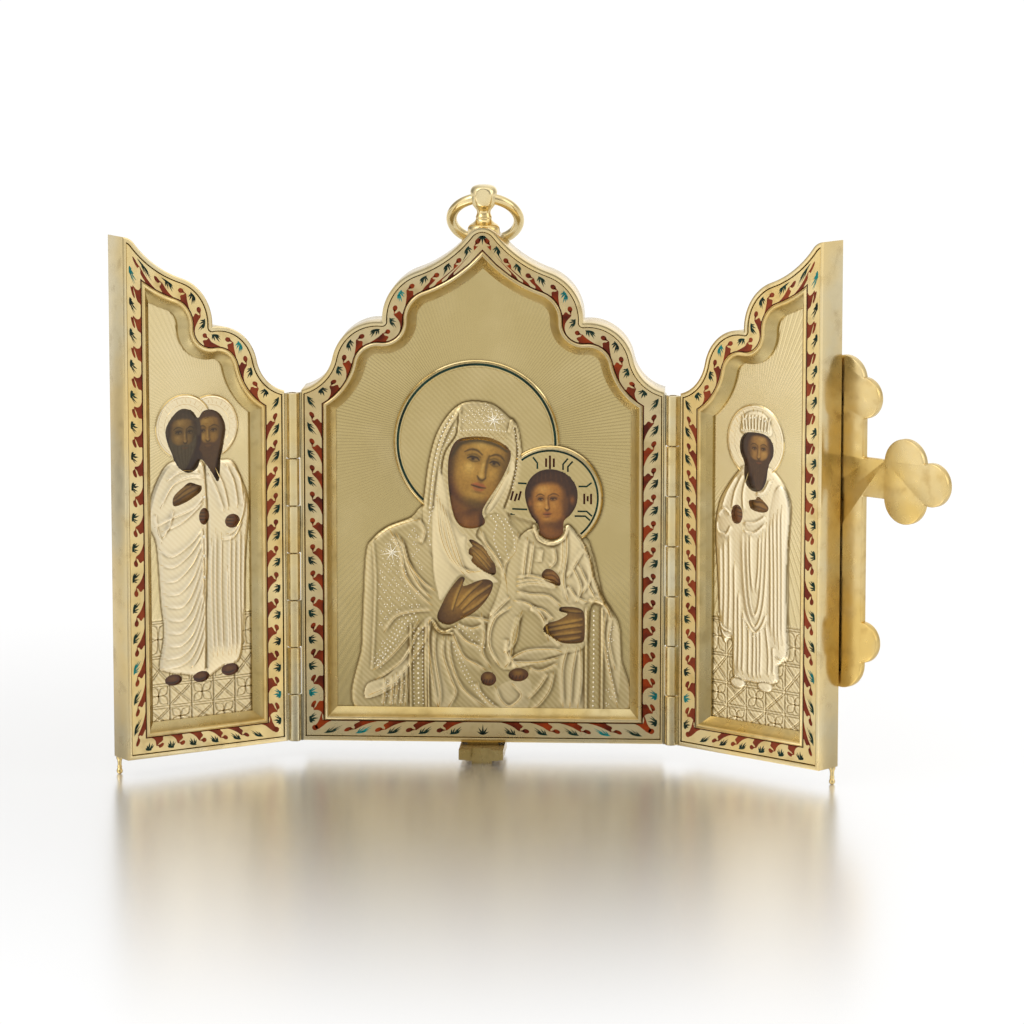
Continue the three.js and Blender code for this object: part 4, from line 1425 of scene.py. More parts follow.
    def bead_mesh(self, name: str) -> None:
        """Repeats one bead over its places with geometry nodes, and keeps the plain mesh."""
        rows = np.array(self.beads)
        heights = self.plate.surface(rows[:, :2])
        places = self.plate.lay(rows, SIZES.ground_y - heights - rows[:, 2] * self.BEAD_LIFT)
        mesh = bpy.data.meshes.new(name)
        mesh.from_pydata(places.tolist(), [], [])
        radii = mesh.attributes.new("radius", "FLOAT", "POINT")
        radii.data.foreach_set("value", (rows[:, 2] * MM).astype(np.float32))
        carrier = bpy.data.objects.new(f"{name}_places", mesh)
        bpy.context.scene.collection.objects.link(carrier)
        tree = bpy.data.node_groups.new(f"{name}_tree", "GeometryNodeTree")
        tree.interface.new_socket("Geometry", in_out="INPUT", socket_type="NodeSocketGeometry")
        tree.interface.new_socket("Geometry", in_out="OUTPUT", socket_type="NodeSocketGeometry")
        source = add_node(tree, "NodeGroupInput")
        bead = add_node(tree, "GeometryNodeMeshIcoSphere", {"inputs": {"Radius": 1.0, "Subdivisions": 1}})
        size = add_node(tree, "GeometryNodeInputNamedAttribute", {"inputs": {"Name": "radius"}})
        repeat = add_node(
            tree,
            "GeometryNodeInstanceOnPoints",
            links={"Points": source.outputs[0], "Instance": bead.outputs["Mesh"], "Scale": size.outputs[0]},
        )
        real = add_node(tree, "GeometryNodeRealizeInstances", links={"Geometry": repeat.outputs[0]})
        # The beads' near-white finish is a painted highlight.
        settings = {"inputs": {"Material": self.bead_material}}
        dressed = add_node(tree, "GeometryNodeSetMaterial", settings, {"Geometry": real.outputs[0]})
        add_node(tree, "NodeGroupOutput", links={0: dressed.outputs[0]})
        modifier = carrier.modifiers.new("beads", "NODES")
        modifier.node_group = tree
        graph = bpy.context.evaluated_depsgraph_get()
        plain = bpy.data.meshes.new_from_object(carrier.evaluated_get(graph))
        bpy.data.objects.remove(carrier)
        plain.shade_smooth()
        piece = bpy.data.objects.new(name, plain)
        bpy.context.scene.collection.objects.link(piece)
        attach(piece, self.plate.panel.body)


# ---------------------------------------------------------------- the centre plate


@dataclass
class CentrePlate:
    """The mother with the child on her arm, under two halos."""

    panel: Panel
    finishes: Finishes

    CELL = 0.235
    HALO = Arc(-1.4, 62.5, 17.2)
    CHILD_HALO = Arc(13.9, 51.2, 10.9)
    VEIL_SIDE = [
        (-2.4, 71.1), (-5.2, 70.2), (-7.8, 67.5), (-9.9, 63.5), (-11.3, 58), (-12.0, 53), (-12.5, 48.5),
    ]
    FACE = [
        (-5.2, 63.2), (-1.0, 63.9), (2.6, 63.2), (5.4, 61.2), (5.5, 58.8), (3.6, 54.6), (0.9, 50.4),
        (-0.2, 48.1), (0.4, 46.0), (-0.6, 45.0), (-2.6, 44.6), (-4.8, 45.2), (-6.2, 47.6), (-7.1, 52.5),
        (-7.3, 57), (-6.9, 60.4),
    ]
    CHILD_HEAD = [
        (8.6, 52), (9.6, 55), (11.8, 56.8), (14.6, 57.1), (17.4, 56), (19.3, 53.4), (19.4, 50.2),
        (18.2, 47.8), (16.7, 46.3), (16.5, 43.8), (15.2, 42.6), (13.2, 42.5), (11.7, 43.6), (11.4, 45.4),
        (9.6, 48),
    ]
    UPPER_HAND = [
        (-3, 42.2), (-2, 42.2), (0, 40.8), (1.3, 38.8), (2.5, 36.9), (2.4, 34.9), (0.3, 35.6), (-1.6, 36.9),
        (-2.5, 37.9), (-2.2, 38.7), (-3, 39.3), (-2.9, 40.4), (-2.2, 41.0),
    ]
    LARGE_HAND = [
        (-9.6, 26.2), (-8.6, 28.7), (-7.1, 31.5), (-4.9, 34.3), (-3.8, 34.1), (-4.1, 32.5), (0, 34),
        (2, 33.2), (1.1, 30.3), (-1.6, 27.2), (-5.1, 25.2), (-7.1, 24.3), (-9, 24.9),
    ]
    CHILD_HAND = [
        (12.1, 35.2), (13, 36.3), (14.4, 36.1), (15.8, 34.6), (15.9, 32.8), (14, 33.4), (12.5, 34.2),
    ]
    RIGHT_HAND = [
        (12.5, 23.4), (13.2, 24.8), (15.6, 25.6), (17.5, 26.9), (15.9, 27.4), (16, 28.3), (18.3, 28.4),
        (20.3, 27.9), (21, 26.4), (21, 21.9), (20.2, 20.8), (16.7, 20.7), (14.4, 21.9),
    ]

    def holes(self) -> list[Array]:
        """The openings in the plate."""
        hands = [self.UPPER_HAND, self.LARGE_HAND, self.CHILD_HAND, self.RIGHT_HAND]
        feet = [disc(1.05, 13.0, 1.65, 1.5, -20), disc(7.3, 13.9, 2.1, 1.4, 5)]
        return [rounded(shape, 4) for shape in (self.FACE, self.CHILD_HEAD, *hands)] + feet

    def draw(self, canvas: Canvas) -> None:
        """Raises the figures."""
        halo, child = self.HALO, self.CHILD_HALO
        canvas.halo(halo.x, halo.z, halo.r, 0.12, pale=0.1)
        canvas.halo(child.x, child.z, child.r, 0.4, pale=0.12)
        self.mantle(canvas)
        self.veil(canvas)
        self.scarf(canvas)
        self.child(canvas)
        self.left_folds(canvas)
        self.lower_folds(canvas)
        self.right_folds(canvas)

    def mantle(self, canvas: Canvas) -> None:
        """The body under the mantle."""
        outline = rounded(
            [(-11.5, 49.5), (-15, 46.8), (-20, 44.7), (-23, 42.2), (-24.3, 39.5), (-24.9, 30), (-25.3, 20),
             (-25.7, 5.5), (0, 4.5), (28.8, 5.5), (28.6, 18), (28.2, 24.5), (26.4, 28), (25, 30), (24, 34),
             (22.5, 40), (20, 43.5), (8, 47), (0, 50)],
        )
        canvas.form(outline, 0.55, 1.2, 0.55, 5.0, 0.3, 0.5)

    def veil(self, canvas: Canvas) -> None:
        """The hood over the head, with its smooth turned edge and the hollow folds beside the face."""
        outline = rounded(
            [*self.VEIL_SIDE, (-12.4, 44), (-10.5, 38), (-6, 35.5), (0, 35), (4, 38), (7.5, 43), (5.5, 46.5),
             (5.2, 49), (6.3, 52), (7.3, 55), (7.9, 59), (7.8, 62), (7.0, 66.2), (5.4, 67.8), (2, 70.5)],
        )
        canvas.form(outline, 0.85, 1.0, 0.5, 2.5, 0.45, 0.5)
        canvas.line([(-10.9, 49), (-10.4, 54), (-9.4, 60), (-7.6, 65), (-5, 69.2)], 0.22, 0.3)
        canvas.line([(-9.3, 48.5), (-8.8, 55.5), (-7.9, 60.5), (-5.6, 64.3), (-4.9, 69)], -0.18, 0.28)
        canvas.line([(-5.0, 65.2), (-4.8, 69.4)], 0.2, 0.22)
        canvas.line([(5.4, 65), (5.9, 67.2)], 0.2, 0.25)
        canvas.line([(6.6, 65.5), (7.0, 61), (6.6, 56.5), (5.6, 52.5), (4.4, 49.2)], -0.2, 0.3)
        inner = rounded(
            [(5.6, 59.5), (6.5, 57), (4.6, 52.5), (1.2, 47.5), (0.2, 48.6), (2.4, 52), (4.6, 55.8)], 4,
        )
        canvas.form(inner, 1.0, 0.4, 0.1, 1.0, 0.85, 0.15)
        canvas.fold([(0.8, 48.5), (3.0, 52.4), (5.4, 56.8)], 0.2, 0.25, 0.5)

    def scarf(self, canvas: Canvas) -> None:
        """The smooth cloth that falls from the hood over the breast."""
        band = rounded(
            [(-9.2, 57.2), (-7.6, 53), (-6.6, 47.5), (-4.6, 43.9), (-3.3, 43.0), (-3.2, 40), (-0.8, 37),
             (2.6, 34.2), (2.4, 33.2), (-2, 33.6), (-5, 34.6), (-8.6, 29.6), (-9.6, 31.5), (-10.4, 36),
             (-10.6, 44), (-10.4, 50)],
        )
        canvas.form(band, 1.15, 0.6, 0.35, 1.5, 0.9, 0.15)
        for shift in (0.0, 1.1, 2.3, 3.4):
            canvas.fold(
                [(-9.6 + shift * 0.5, 52 - shift), (-9.0 + shift, 44 - shift),
                 (-7.0 + shift, 38.5 - shift * 0.8), (-3.8 + shift, 34.9 + shift * 0.25)], 0.16, 0.28, 0.6,
            )
        breast = rounded(
            [(0.6, 47.4), (3.0, 48), (5.0, 46.4), (7, 43), (6.4, 38.5), (3, 36.2), (1.6, 39), (-0.4, 41.6),
             (-1.6, 43.6)],
        )
        canvas.form(breast, 1.0, 0.5, 0.25, 1.2, 0.35, 0.5)
        canvas.fold([(-0.6, 44.6), (0.6, 41.5), (3.0, 38.2), (4.6, 34.5), (5, 31)], 0.26, 0.3, 0.8)
        canvas.fold([(7.2, 44), (6.8, 40), (4.6, 37), (4.8, 33)], 0.26, 0.35, 0.7)

    def child(self, canvas: Canvas) -> None:
        """The child's tunic, cloak and lap."""
        body = rounded(
            [(8.2, 43.6), (10.6, 44.8), (14.2, 43.9), (17.6, 45.2), (19.8, 43.0), (21.4, 40.2), (22.6, 36.6),
             (23.6, 32.6), (25.2, 29), (22.4, 28.6), (21.2, 20.2), (15.6, 18.2), (9.6, 16), (4.6, 14.9),
             (2.2, 17), (0.7, 21), (1.1, 26), (2.6, 30), (4.4, 35.6), (6, 40.6)],
        )
        canvas.form(body, 1.25, 1.0, 0.45, 2.5, 0.55, 0.35)
        cloak = rounded(
            [(17.2, 45.4), (20, 42.8), (21.6, 39.6), (22.8, 35), (24, 30.4), (19.8, 28.9), (17.2, 29.2),
             (16.2, 32.6), (16.9, 37)],
        )
        canvas.form(cloak, 1.5, 0.6, 0.2, 1.2, 0.8, 0.2)
        canvas.line([(10.6, 45.2), (11.6, 42.6), (14.1, 41.6), (16.6, 42.7), (17.4, 45)], 0.26, 0.28)
        canvas.line([(11.2, 44.4), (12.4, 42.9), (14.1, 42.3), (15.8, 42.8), (16.9, 44.4)], -0.16, 0.18)
        canvas.folds([
            [(9.2, 43), (8.6, 38), (8.2, 33.8)], [(10.4, 42), (9.9, 38), (9.4, 34.6)],
            [(12.2, 40.6), (11.8, 37.6)], [(14.6, 41), (14.9, 38), (13.6, 36.6)],
            [(16.5, 42.4), (16.4, 38), (15.7, 35.2)], [(17.3, 43.6), (17.2, 39), (16.6, 34), (17.6, 29.6)],
            [(21.4, 41.4), (19.4, 38), (17.4, 34.4)], [(21.8, 39.8), (22.4, 35), (20.4, 31)],
            [(18.6, 36.6), (20.2, 32.6), (19.2, 29.2)], [(19.6, 37.6), (21.8, 33), (23.6, 29.6)],
            [(17.6, 33), (19.2, 30.6), (21.6, 29.4)],
        ], 0.26, 0.26, 0.7)
        for rise in (0.0, 0.9, 1.9):
            canvas.fold(
                [(6.8, 32.6 + rise), (10.4, 33.3 + rise * 0.8), (15.4, 32.4 + rise * 0.4)], 0.24, 0.28, 0.55,
            )
        canvas.folds([
            [(6.8, 31.6), (10, 30.9), (13.6, 30.6), (16.2, 28.4)], [(5.6, 30.4), (3.2, 28), (1.4, 26)],
            [(6.2, 29.6), (9.4, 28.9), (12.4, 26), (13.6, 21)],
            [(6.0, 28.4), (2.4, 25.8), (1.2, 20.6), (3.4, 15.8)],
            [(8.2, 27.6), (6.4, 23), (5.6, 17.4), (4.4, 15.4)], [(7.4, 26.6), (6.6, 21), (4.2, 18.6)],
            [(5.2, 17), (9, 19), (14.2, 19.4), (16.4, 18.8)], [(5.6, 16.6), (11, 16.6), (15.8, 17.6)],
            [(5.2, 21.6), (5.0, 18.6), (7.2, 15.6)], [(13.2, 26), (13.6, 22.8), (16.4, 20.2)],
            [(9.6, 28.3), (12.6, 27.6), (14.6, 25.6)],
        ], 0.28, 0.28, 0.8)
        canvas.tint(rounded(
            [(6.6, 25.5), (8.6, 27.6), (11.6, 26.2), (13.6, 21.4), (9.4, 19.6), (5.8, 18)],
        ), 0.25, 0.5)

    def left_folds(self, canvas: Canvas) -> None:
        """The sleeve side of the mantle."""
        canvas.tint(rounded([(-24.0, 38), (-22.9, 39), (-22.4, 30), (-23, 12), (-25.2, 12)]), 0.45, 0.45)
        canvas.line([(-22.9, 41.6), (-22.4, 34), (-22.7, 24), (-23.2, 15)], 0.12, 0.22)
        canvas.fold([(-22.6, 42), (-19, 44.6), (-13.4, 46.4)], 0.2, 0.3, 0.6)
        canvas.fold([(-13.4, 46.6), (-12.2, 44), (-13, 41.2)], 0.3, 0.3, 0.9)
        canvas.fold([(-18.2, 43.6), (-16.6, 40.6), (-15.6, 37), (-13.2, 32.4), (-10.6, 29.8)], 0.3, 0.3, 0.8)
        canvas.fold([(-16.9, 42.6), (-15.6, 37.6), (-12.6, 33.4), (-9.9, 31.4)], 0.24, 0.26, 0.6)
        canvas.fold(
            [(-19.4, 44.2), (-17.2, 39.6), (-16.2, 34.6), (-13.2, 30.6), (-10.4, 28.2)], 0.22, 0.26, 0.7,
        )
        canvas.fold([(-10.4, 27.4), (-14, 27.2), (-18.2, 26.0), (-20.8, 22.4)], 0.24, 0.28, 0.6)
        smooth = rounded(
            [(-10.6, 25.8), (-13.0, 24.6), (-16.5, 17.8), (-20, 13.6), (-24.2, 11.6), (-24.4, 8.6),
             (-19.6, 10.4), (-15.2, 14.6), (-12.0, 20.6)],
        )
        canvas.form(smooth, 1.1, 0.5, 0.2, 1.0, 0.75, 0.2)
        canvas.fold([(-10.8, 25.4), (-13.6, 22.6), (-16.8, 16.8), (-22.6, 12.4)], 0.24, 0.26, 0.55)
        canvas.fold([(-11.4, 22.4), (-14, 18), (-18.6, 12.2), (-24, 9.2)], 0.18, 0.26, 0.6)
        canvas.fold([(-13.2, 25.4), (-15.2, 22.4), (-19.4, 17.4), (-23.2, 14.4)], 0.18, 0.24, 0.45)
        for x, top in ((-20.6, 13), (-19.0, 13.6), (-17.0, 15), (-16.0, 16), (-18.1, 14.2)):
            canvas.fold([(x, top), (x + 0.1, 11), (x - 0.3, 7)], 0.22, 0.26, 0.5)
        canvas.tint(rounded([(-15, 24.6), (-12.2, 24.6), (-12.2, 6), (-15, 6)]), 0.2, 0.5)
        for x in (-15.1, -11.9, -11.4):
            canvas.line([(x, 24.2), (x - 0.1, 16), (x, 6.4)], 0.2, 0.18)

    def lower_folds(self, canvas: Canvas) -> None:
        """The cuff of the large hand, and the folds that spread from it."""
        for path in (
            [(-10.5, 25.2), (-9.3, 23.2), (-6.4, 22.6)], [(-10.2, 24.6), (-8.6, 22.8), (-6.5, 23.4)],
        ):
            canvas.line(path, 0.24, 0.2)
        canvas.folds([
            [(-11.2, 25.4), (-11.4, 20), (-10.4, 12), (-9.4, 6.6)],
            [(-10, 23.4), (-10.2, 18), (-9, 10), (-9.4, 6.6)],
            [(-8.2, 22.4), (-8.4, 18), (-6.8, 13), (-5.8, 10), (-7.4, 6.8)],
            [(-7.2, 22.4), (-6.8, 17), (-4.4, 11), (0.4, 7)],
            [(-6.4, 22.6), (-4.2, 17.8), (-1.4, 16), (0.6, 14.8)], [(-6.2, 24), (-3.6, 21), (-0.2, 19.6)],
            [(-5.6, 24.6), (-2.4, 23.6), (0.6, 24.6)], [(-4.8, 26), (-1.4, 25.8), (1.4, 25.2)],
            [(-1.4, 12.4), (-0.6, 10), (1.6, 7.6), (3.6, 6.6)],
            [(2.4, 11.6), (3.6, 8.6), (5.6, 7.2), (8.0, 9.6), (5.8, 12.2)],
            [(14.6, 14.8), (13.8, 11), (11.6, 7.8), (9.6, 6.6)], [(13.4, 14.4), (11.6, 11.4), (9.2, 8.8)],
            [(9.4, 15.4), (12, 14.8), (15.6, 16.4)], [(17.6, 20), (16.4, 15), (16.6, 7)],
            [(19.4, 20), (18.4, 14), (18, 7)], [(-0.4, 27), (0.2, 22), (-0.2, 18.6), (1.6, 15.2)],
        ], 0.26, 0.3, 0.9)
        canvas.tint(rounded([(-9.4, 21), (-8.6, 14), (-6.4, 8), (-9, 6), (-10.4, 12)]), 0.75, 0.2)
        canvas.tint(rounded([(15.4, 19.6), (19.6, 19.8), (20.8, 12), (20.4, 6), (16.8, 6)]), 0.7, 0.2)
        canvas.tint(rounded([(4, 12), (9.6, 13), (9.2, 7), (5, 6.4), (2.4, 9)]), 0.7, 0.25)

    def right_folds(self, canvas: Canvas) -> None:
        """The right edge of the mantle with its stripe."""
        canvas.tint(rounded([(21.6, 28), (24.6, 28), (24.4, 6), (21.4, 6)]), 0.2, 0.5)
        for x in (21.4, 24.7):
            canvas.line([(x, 28), (x, 16), (x - 0.1, 6.4)], 0.2, 0.2)
        canvas.folds([
            [(25.6, 28.4), (25.0, 22), (26.4, 14), (28, 7)], [(26.8, 26.8), (26, 21.4), (27.4, 15)],
            [(23.2, 31.4), (25.4, 28.6), (26.8, 25.4)], [(20.2, 20), (20.3, 13), (19.6, 7)],
            [(21.8, 30), (24.6, 29.4), (26.2, 27.2)],
        ], 0.28, 0.28, 0.8)
        canvas.tint(rounded([(25.4, 24), (26.2, 18), (28, 10), (28.4, 20), (27.2, 26)]), 0.7, 0.25)

    def trim(self, plate: Plate) -> None:
        """Beads, dots and wires on the cloth."""
        trim = Trim(plate, self.finishes.bright, self.finishes.bead)
        halo, child = self.HALO, self.CHILD_HALO
        trim.ridges()
        trim.hoop(halo, 16.95, 0.5, 0.16, [child])
        trim.hoop(child, 10.6, 0.5, 0.18)
        trim.hoop(halo, 15.7, 0.18, 0.05, [child])
        trim.star(2.2, 67.3, 2.2)
        trim.star(-19.0, 39.4, 2.3)
        for z in (63.5, 64.3):
            trim.wire(self.zigzag(-4.8, 4.9, z, 27, 0.28), 0.16, 0.1, False)
        trim.row([(-4.9, 65.0), (0, 65.35), (5.0, 64.9)], 0.62, 0.2)
        trim.wire([(-5.2, 62.95), (-1, 63.35), (2.6, 62.65), (5.0, 61.2)], 0.2, 0.12)
        trim.row([(-6.0, 68.4), (-8.4, 64.6), (-10.0, 58), (-10.9, 50), (-11.2, 46)], 0.95, 0.25)
        trim.row([(-6.9, 67.0), (-8.8, 62.4), (-9.6, 56), (-10.2, 50)], 0.8, 0.14, 0.5)
        trim.row([(-5.8, 66), (-7.6, 62.2)], 0.7, 0.2)
        trim.row([(6.2, 66), (7.2, 61.6), (6.9, 57.4), (6.0, 53)], 0.7, 0.16)
        trim.row([(-10.2, 49.5), (-11.4, 45), (-11.0, 41)], 0.9, 0.2)
        for path in (
            [(1.4, 47.6), (2.8, 45.6), (2.2, 42.6), (3.6, 38.4)],
            [(2.8, 47.8), (4.4, 45), (4.6, 41), (5.4, 38.2)], [(4.4, 47), (6.2, 43.6), (6.6, 39.8)],
        ):
            trim.row(path, 0.78, 0.2)
        for area, pitch, radius, seed in (
            ([(-4.6, 66), (5, 66), (4.4, 69), (1.5, 71), (-3, 70.6), (-4.6, 69)], 1.35, 0.16, 3),
            ([(-21.9, 41.5), (-18, 43.4), (-16.2, 38), (-14.6, 33.4), (-11.4, 29), (-12.6, 27.6), (-18, 26.4),
              (-22, 20), (-22.2, 30)], 1.75, 0.18, 5),
            ([(-17, 46), (-13.6, 46), (-11.6, 36), (-11.4, 32), (-14.4, 36), (-15.6, 40)], 1.7, 0.16, 6),
            ([(-22, 21.4), (-18.4, 21), (-21.6, 15), (-22.6, 15)], 1.7, 0.16, 7),
            ([(-21.6, 12.4), (-15.4, 15.4), (-15.6, 6.6), (-21.6, 6.6)], 1.7, 0.15, 8),
            ([(25.2, 27), (28, 24), (28.2, 19), (26, 20)], 1.6, 0.15, 9),
            ([(24.9, 20), (26.6, 12), (27.6, 6.6), (24.9, 6.6)], 1.7, 0.15, 10),
        ):
            trim.clusters(np.array(area), pitch, radius, seed)
        hem = [(-13.6, 26.2), (-16.2, 24.6), (-18.6, 20.6), (-22.4, 15.0)]
        for offset, radius in ((0.0, 0.27), (0.75, 0.16), (-0.75, 0.2), (-1.5, 0.16)):
            trim.row(hem, 0.95, radius, offset)
        for x, radius, pitch in ((-14.4, 0.16, 0.8), (-13.45, 0.3, 1.05), (-12.55, 0.2, 0.8)):
            trim.row([(x, 24), (x - 0.1, 15), (x, 6.9)], pitch, radius)
        for path in (
            [(-6.2, 24.2), (-3.4, 22.4), (-0.4, 18.6)], [(-5.4, 24.6), (-2.6, 23.2), (0.2, 19.6)],
            [(-6.4, 21), (-5.2, 17), (-3.2, 12.6), (0.4, 8)],
            [(-5.4, 19.4), (-3.8, 15.6), (-1.8, 11.6), (2.4, 7.4)],
        ):
            trim.row(path, 0.9, 0.19)
        trim.row([(22.95, 28), (22.95, 16), (22.8, 6.9)], 1.0, 0.27)
        for x in (21.95, 24.05):
            trim.wire(self.zigzag(27.8, 6.8, x, 41, 0.24, True), 0.15, 0.1, False)
        trim.row([(26.6, 24), (25.8, 18), (27, 12), (27.8, 8)], 0.9, 0.18)
        trim.build()

    @staticmethod
    def zigzag(
        first: float, last: float, middle: float, count: int, size: float, upright: bool = False
    ) -> list[Point]:
        """A zigzag about a level or an upright line, size to each side of it."""
        rows = [
            (along, middle + (size if k % 2 else -size))
            for k, along in enumerate(np.linspace(first, last, count))
        ]
        return [(across, along) for along, across in rows] if upright else rows

    def enamels(self, plate: Plate) -> None:
        """Green enamel lines on both halos, and the brown marks in the child's."""
        halo, child = self.HALO, self.CHILD_HALO
        ribbons = []
        for circle, radius, width, first, last in (
            (halo, 16.3, 0.5, (-12.5, 50.4), (15.0, 61.9)), (child, 9.8, 0.42, (7.9, 59.0), (20.6, 43.1)),
        ):
            angle = np.linspace(*self.angles(circle, first, last), 90)
            arc = np.column_stack([circle.x + radius * np.cos(angle), circle.z + radius * np.sin(angle)])
            ribbons.append((arc, width))
        for path in (
            [(11.2, 57.2), (11.2, 58.4), (10.3, 59.6)], [(16.5, 57.0), (16.5, 58.2), (17.5, 59.4)],
            [(17.5, 56.6), (17.5, 57.7), (18.5, 58.8)], [(19.7, 53.6), (21.4, 53.6), (22.4, 54.4)],
            [(19.5, 48.4), (21.4, 48.4), (22.5, 47.4)], [(18.9, 47.4), (21.1, 47.4), (22.1, 46.5)],
            [(7.2, 54.2), (9.0, 54.1)], [(6.0, 48.8), (9.1, 48.7)], [(5.6, 47.7), (9.5, 47.7)],
        ):
            ribbons.append((np.array(path, float), 0.36))
        make_ribbons("centre_halo_enamel", plate, ribbons, self.finishes.green)
        marks = [
            [(13.0, 57.6), (13.0, 59.4)], [(13.8, 57.2), (13.8, 60.0)], [(14.6, 57.6), (14.6, 59.4)],
            [(20.9, 49.9), (20.9, 52.1)], [(21.6, 50.5), (21.6, 51.6)], [(22.3, 49.9), (22.3, 52.1)],
            [(5.7, 50.6), (6.2, 52.5)], [(6.5, 50.4), (7.0, 52.0)], [(7.3, 50.6), (7.8, 52.5)],
        ]
        make_ribbons(
            "centre_halo_marks", plate, [(np.array(m, float), 0.42) for m in marks], self.finishes.line
        )

    @staticmethod
    def angles(circle: Arc, first: Point, last: Point) -> tuple[float, float]:
        """The angles at which an arc starts and ends, running over the top."""
        start = math.atan2(first[1] - circle.z, first[0] - circle.x)
        end = math.atan2(last[1] - circle.z, last[0] - circle.x)
        return (start + 2 * math.pi if start < 0 and start < end else start, end)

    def build(self) -> None:
        """Makes the plate and what lies on it."""
        finish = EmbossedGilt("embossed_centre", (self.HALO.x, self.HALO.z), 260, 0.009)
        plate = Plate(self.panel, self.CELL, self.holes(), self.draw, finish)
        plate.build()
        self.trim(plate)
        self.enamels(plate)


def make_ribbons(
    name: str, plate: Plate, ribbons: list[tuple[Array, float]], material: bpy.types.Material
) -> None:
    """Makes thin enamel strips that follow a plate's surface."""
    vertices, faces, start = [], [], 0
    for curve, width in ribbons:
        across = leftward(np.gradient(curve, axis=0))
        y = SIZES.ground_y - smooth_along(plate.surface(curve))
        rows = []
        for offset, lift in ((-0.5, -0.05), (-0.5, 0.03), (0.5, 0.03), (0.5, -0.05)):
            points = curve + across * offset * width
            rows.append(plate.lay(points, y - lift))
        count = len(curve)
        vertices.append(np.stack(rows, 1).reshape(-1, 3))
        for i in range(count - 1):
            a, b = start + 4 * i, start + 4 * (i + 1)
            faces += [[a + j, a + (j + 1) % 4, b + (j + 1) % 4, b + j] for j in range(4)]
        last = start + 4 * (count - 1)
        faces += [[start + 3, start + 2, start + 1, start], [last, last + 1, last + 2, last + 3]]
        start += 4 * count
    make_piece(name, np.vstack(vertices), faces, material, plate.panel.body, None)


# ---------------------------------------------------------------- the wing plates


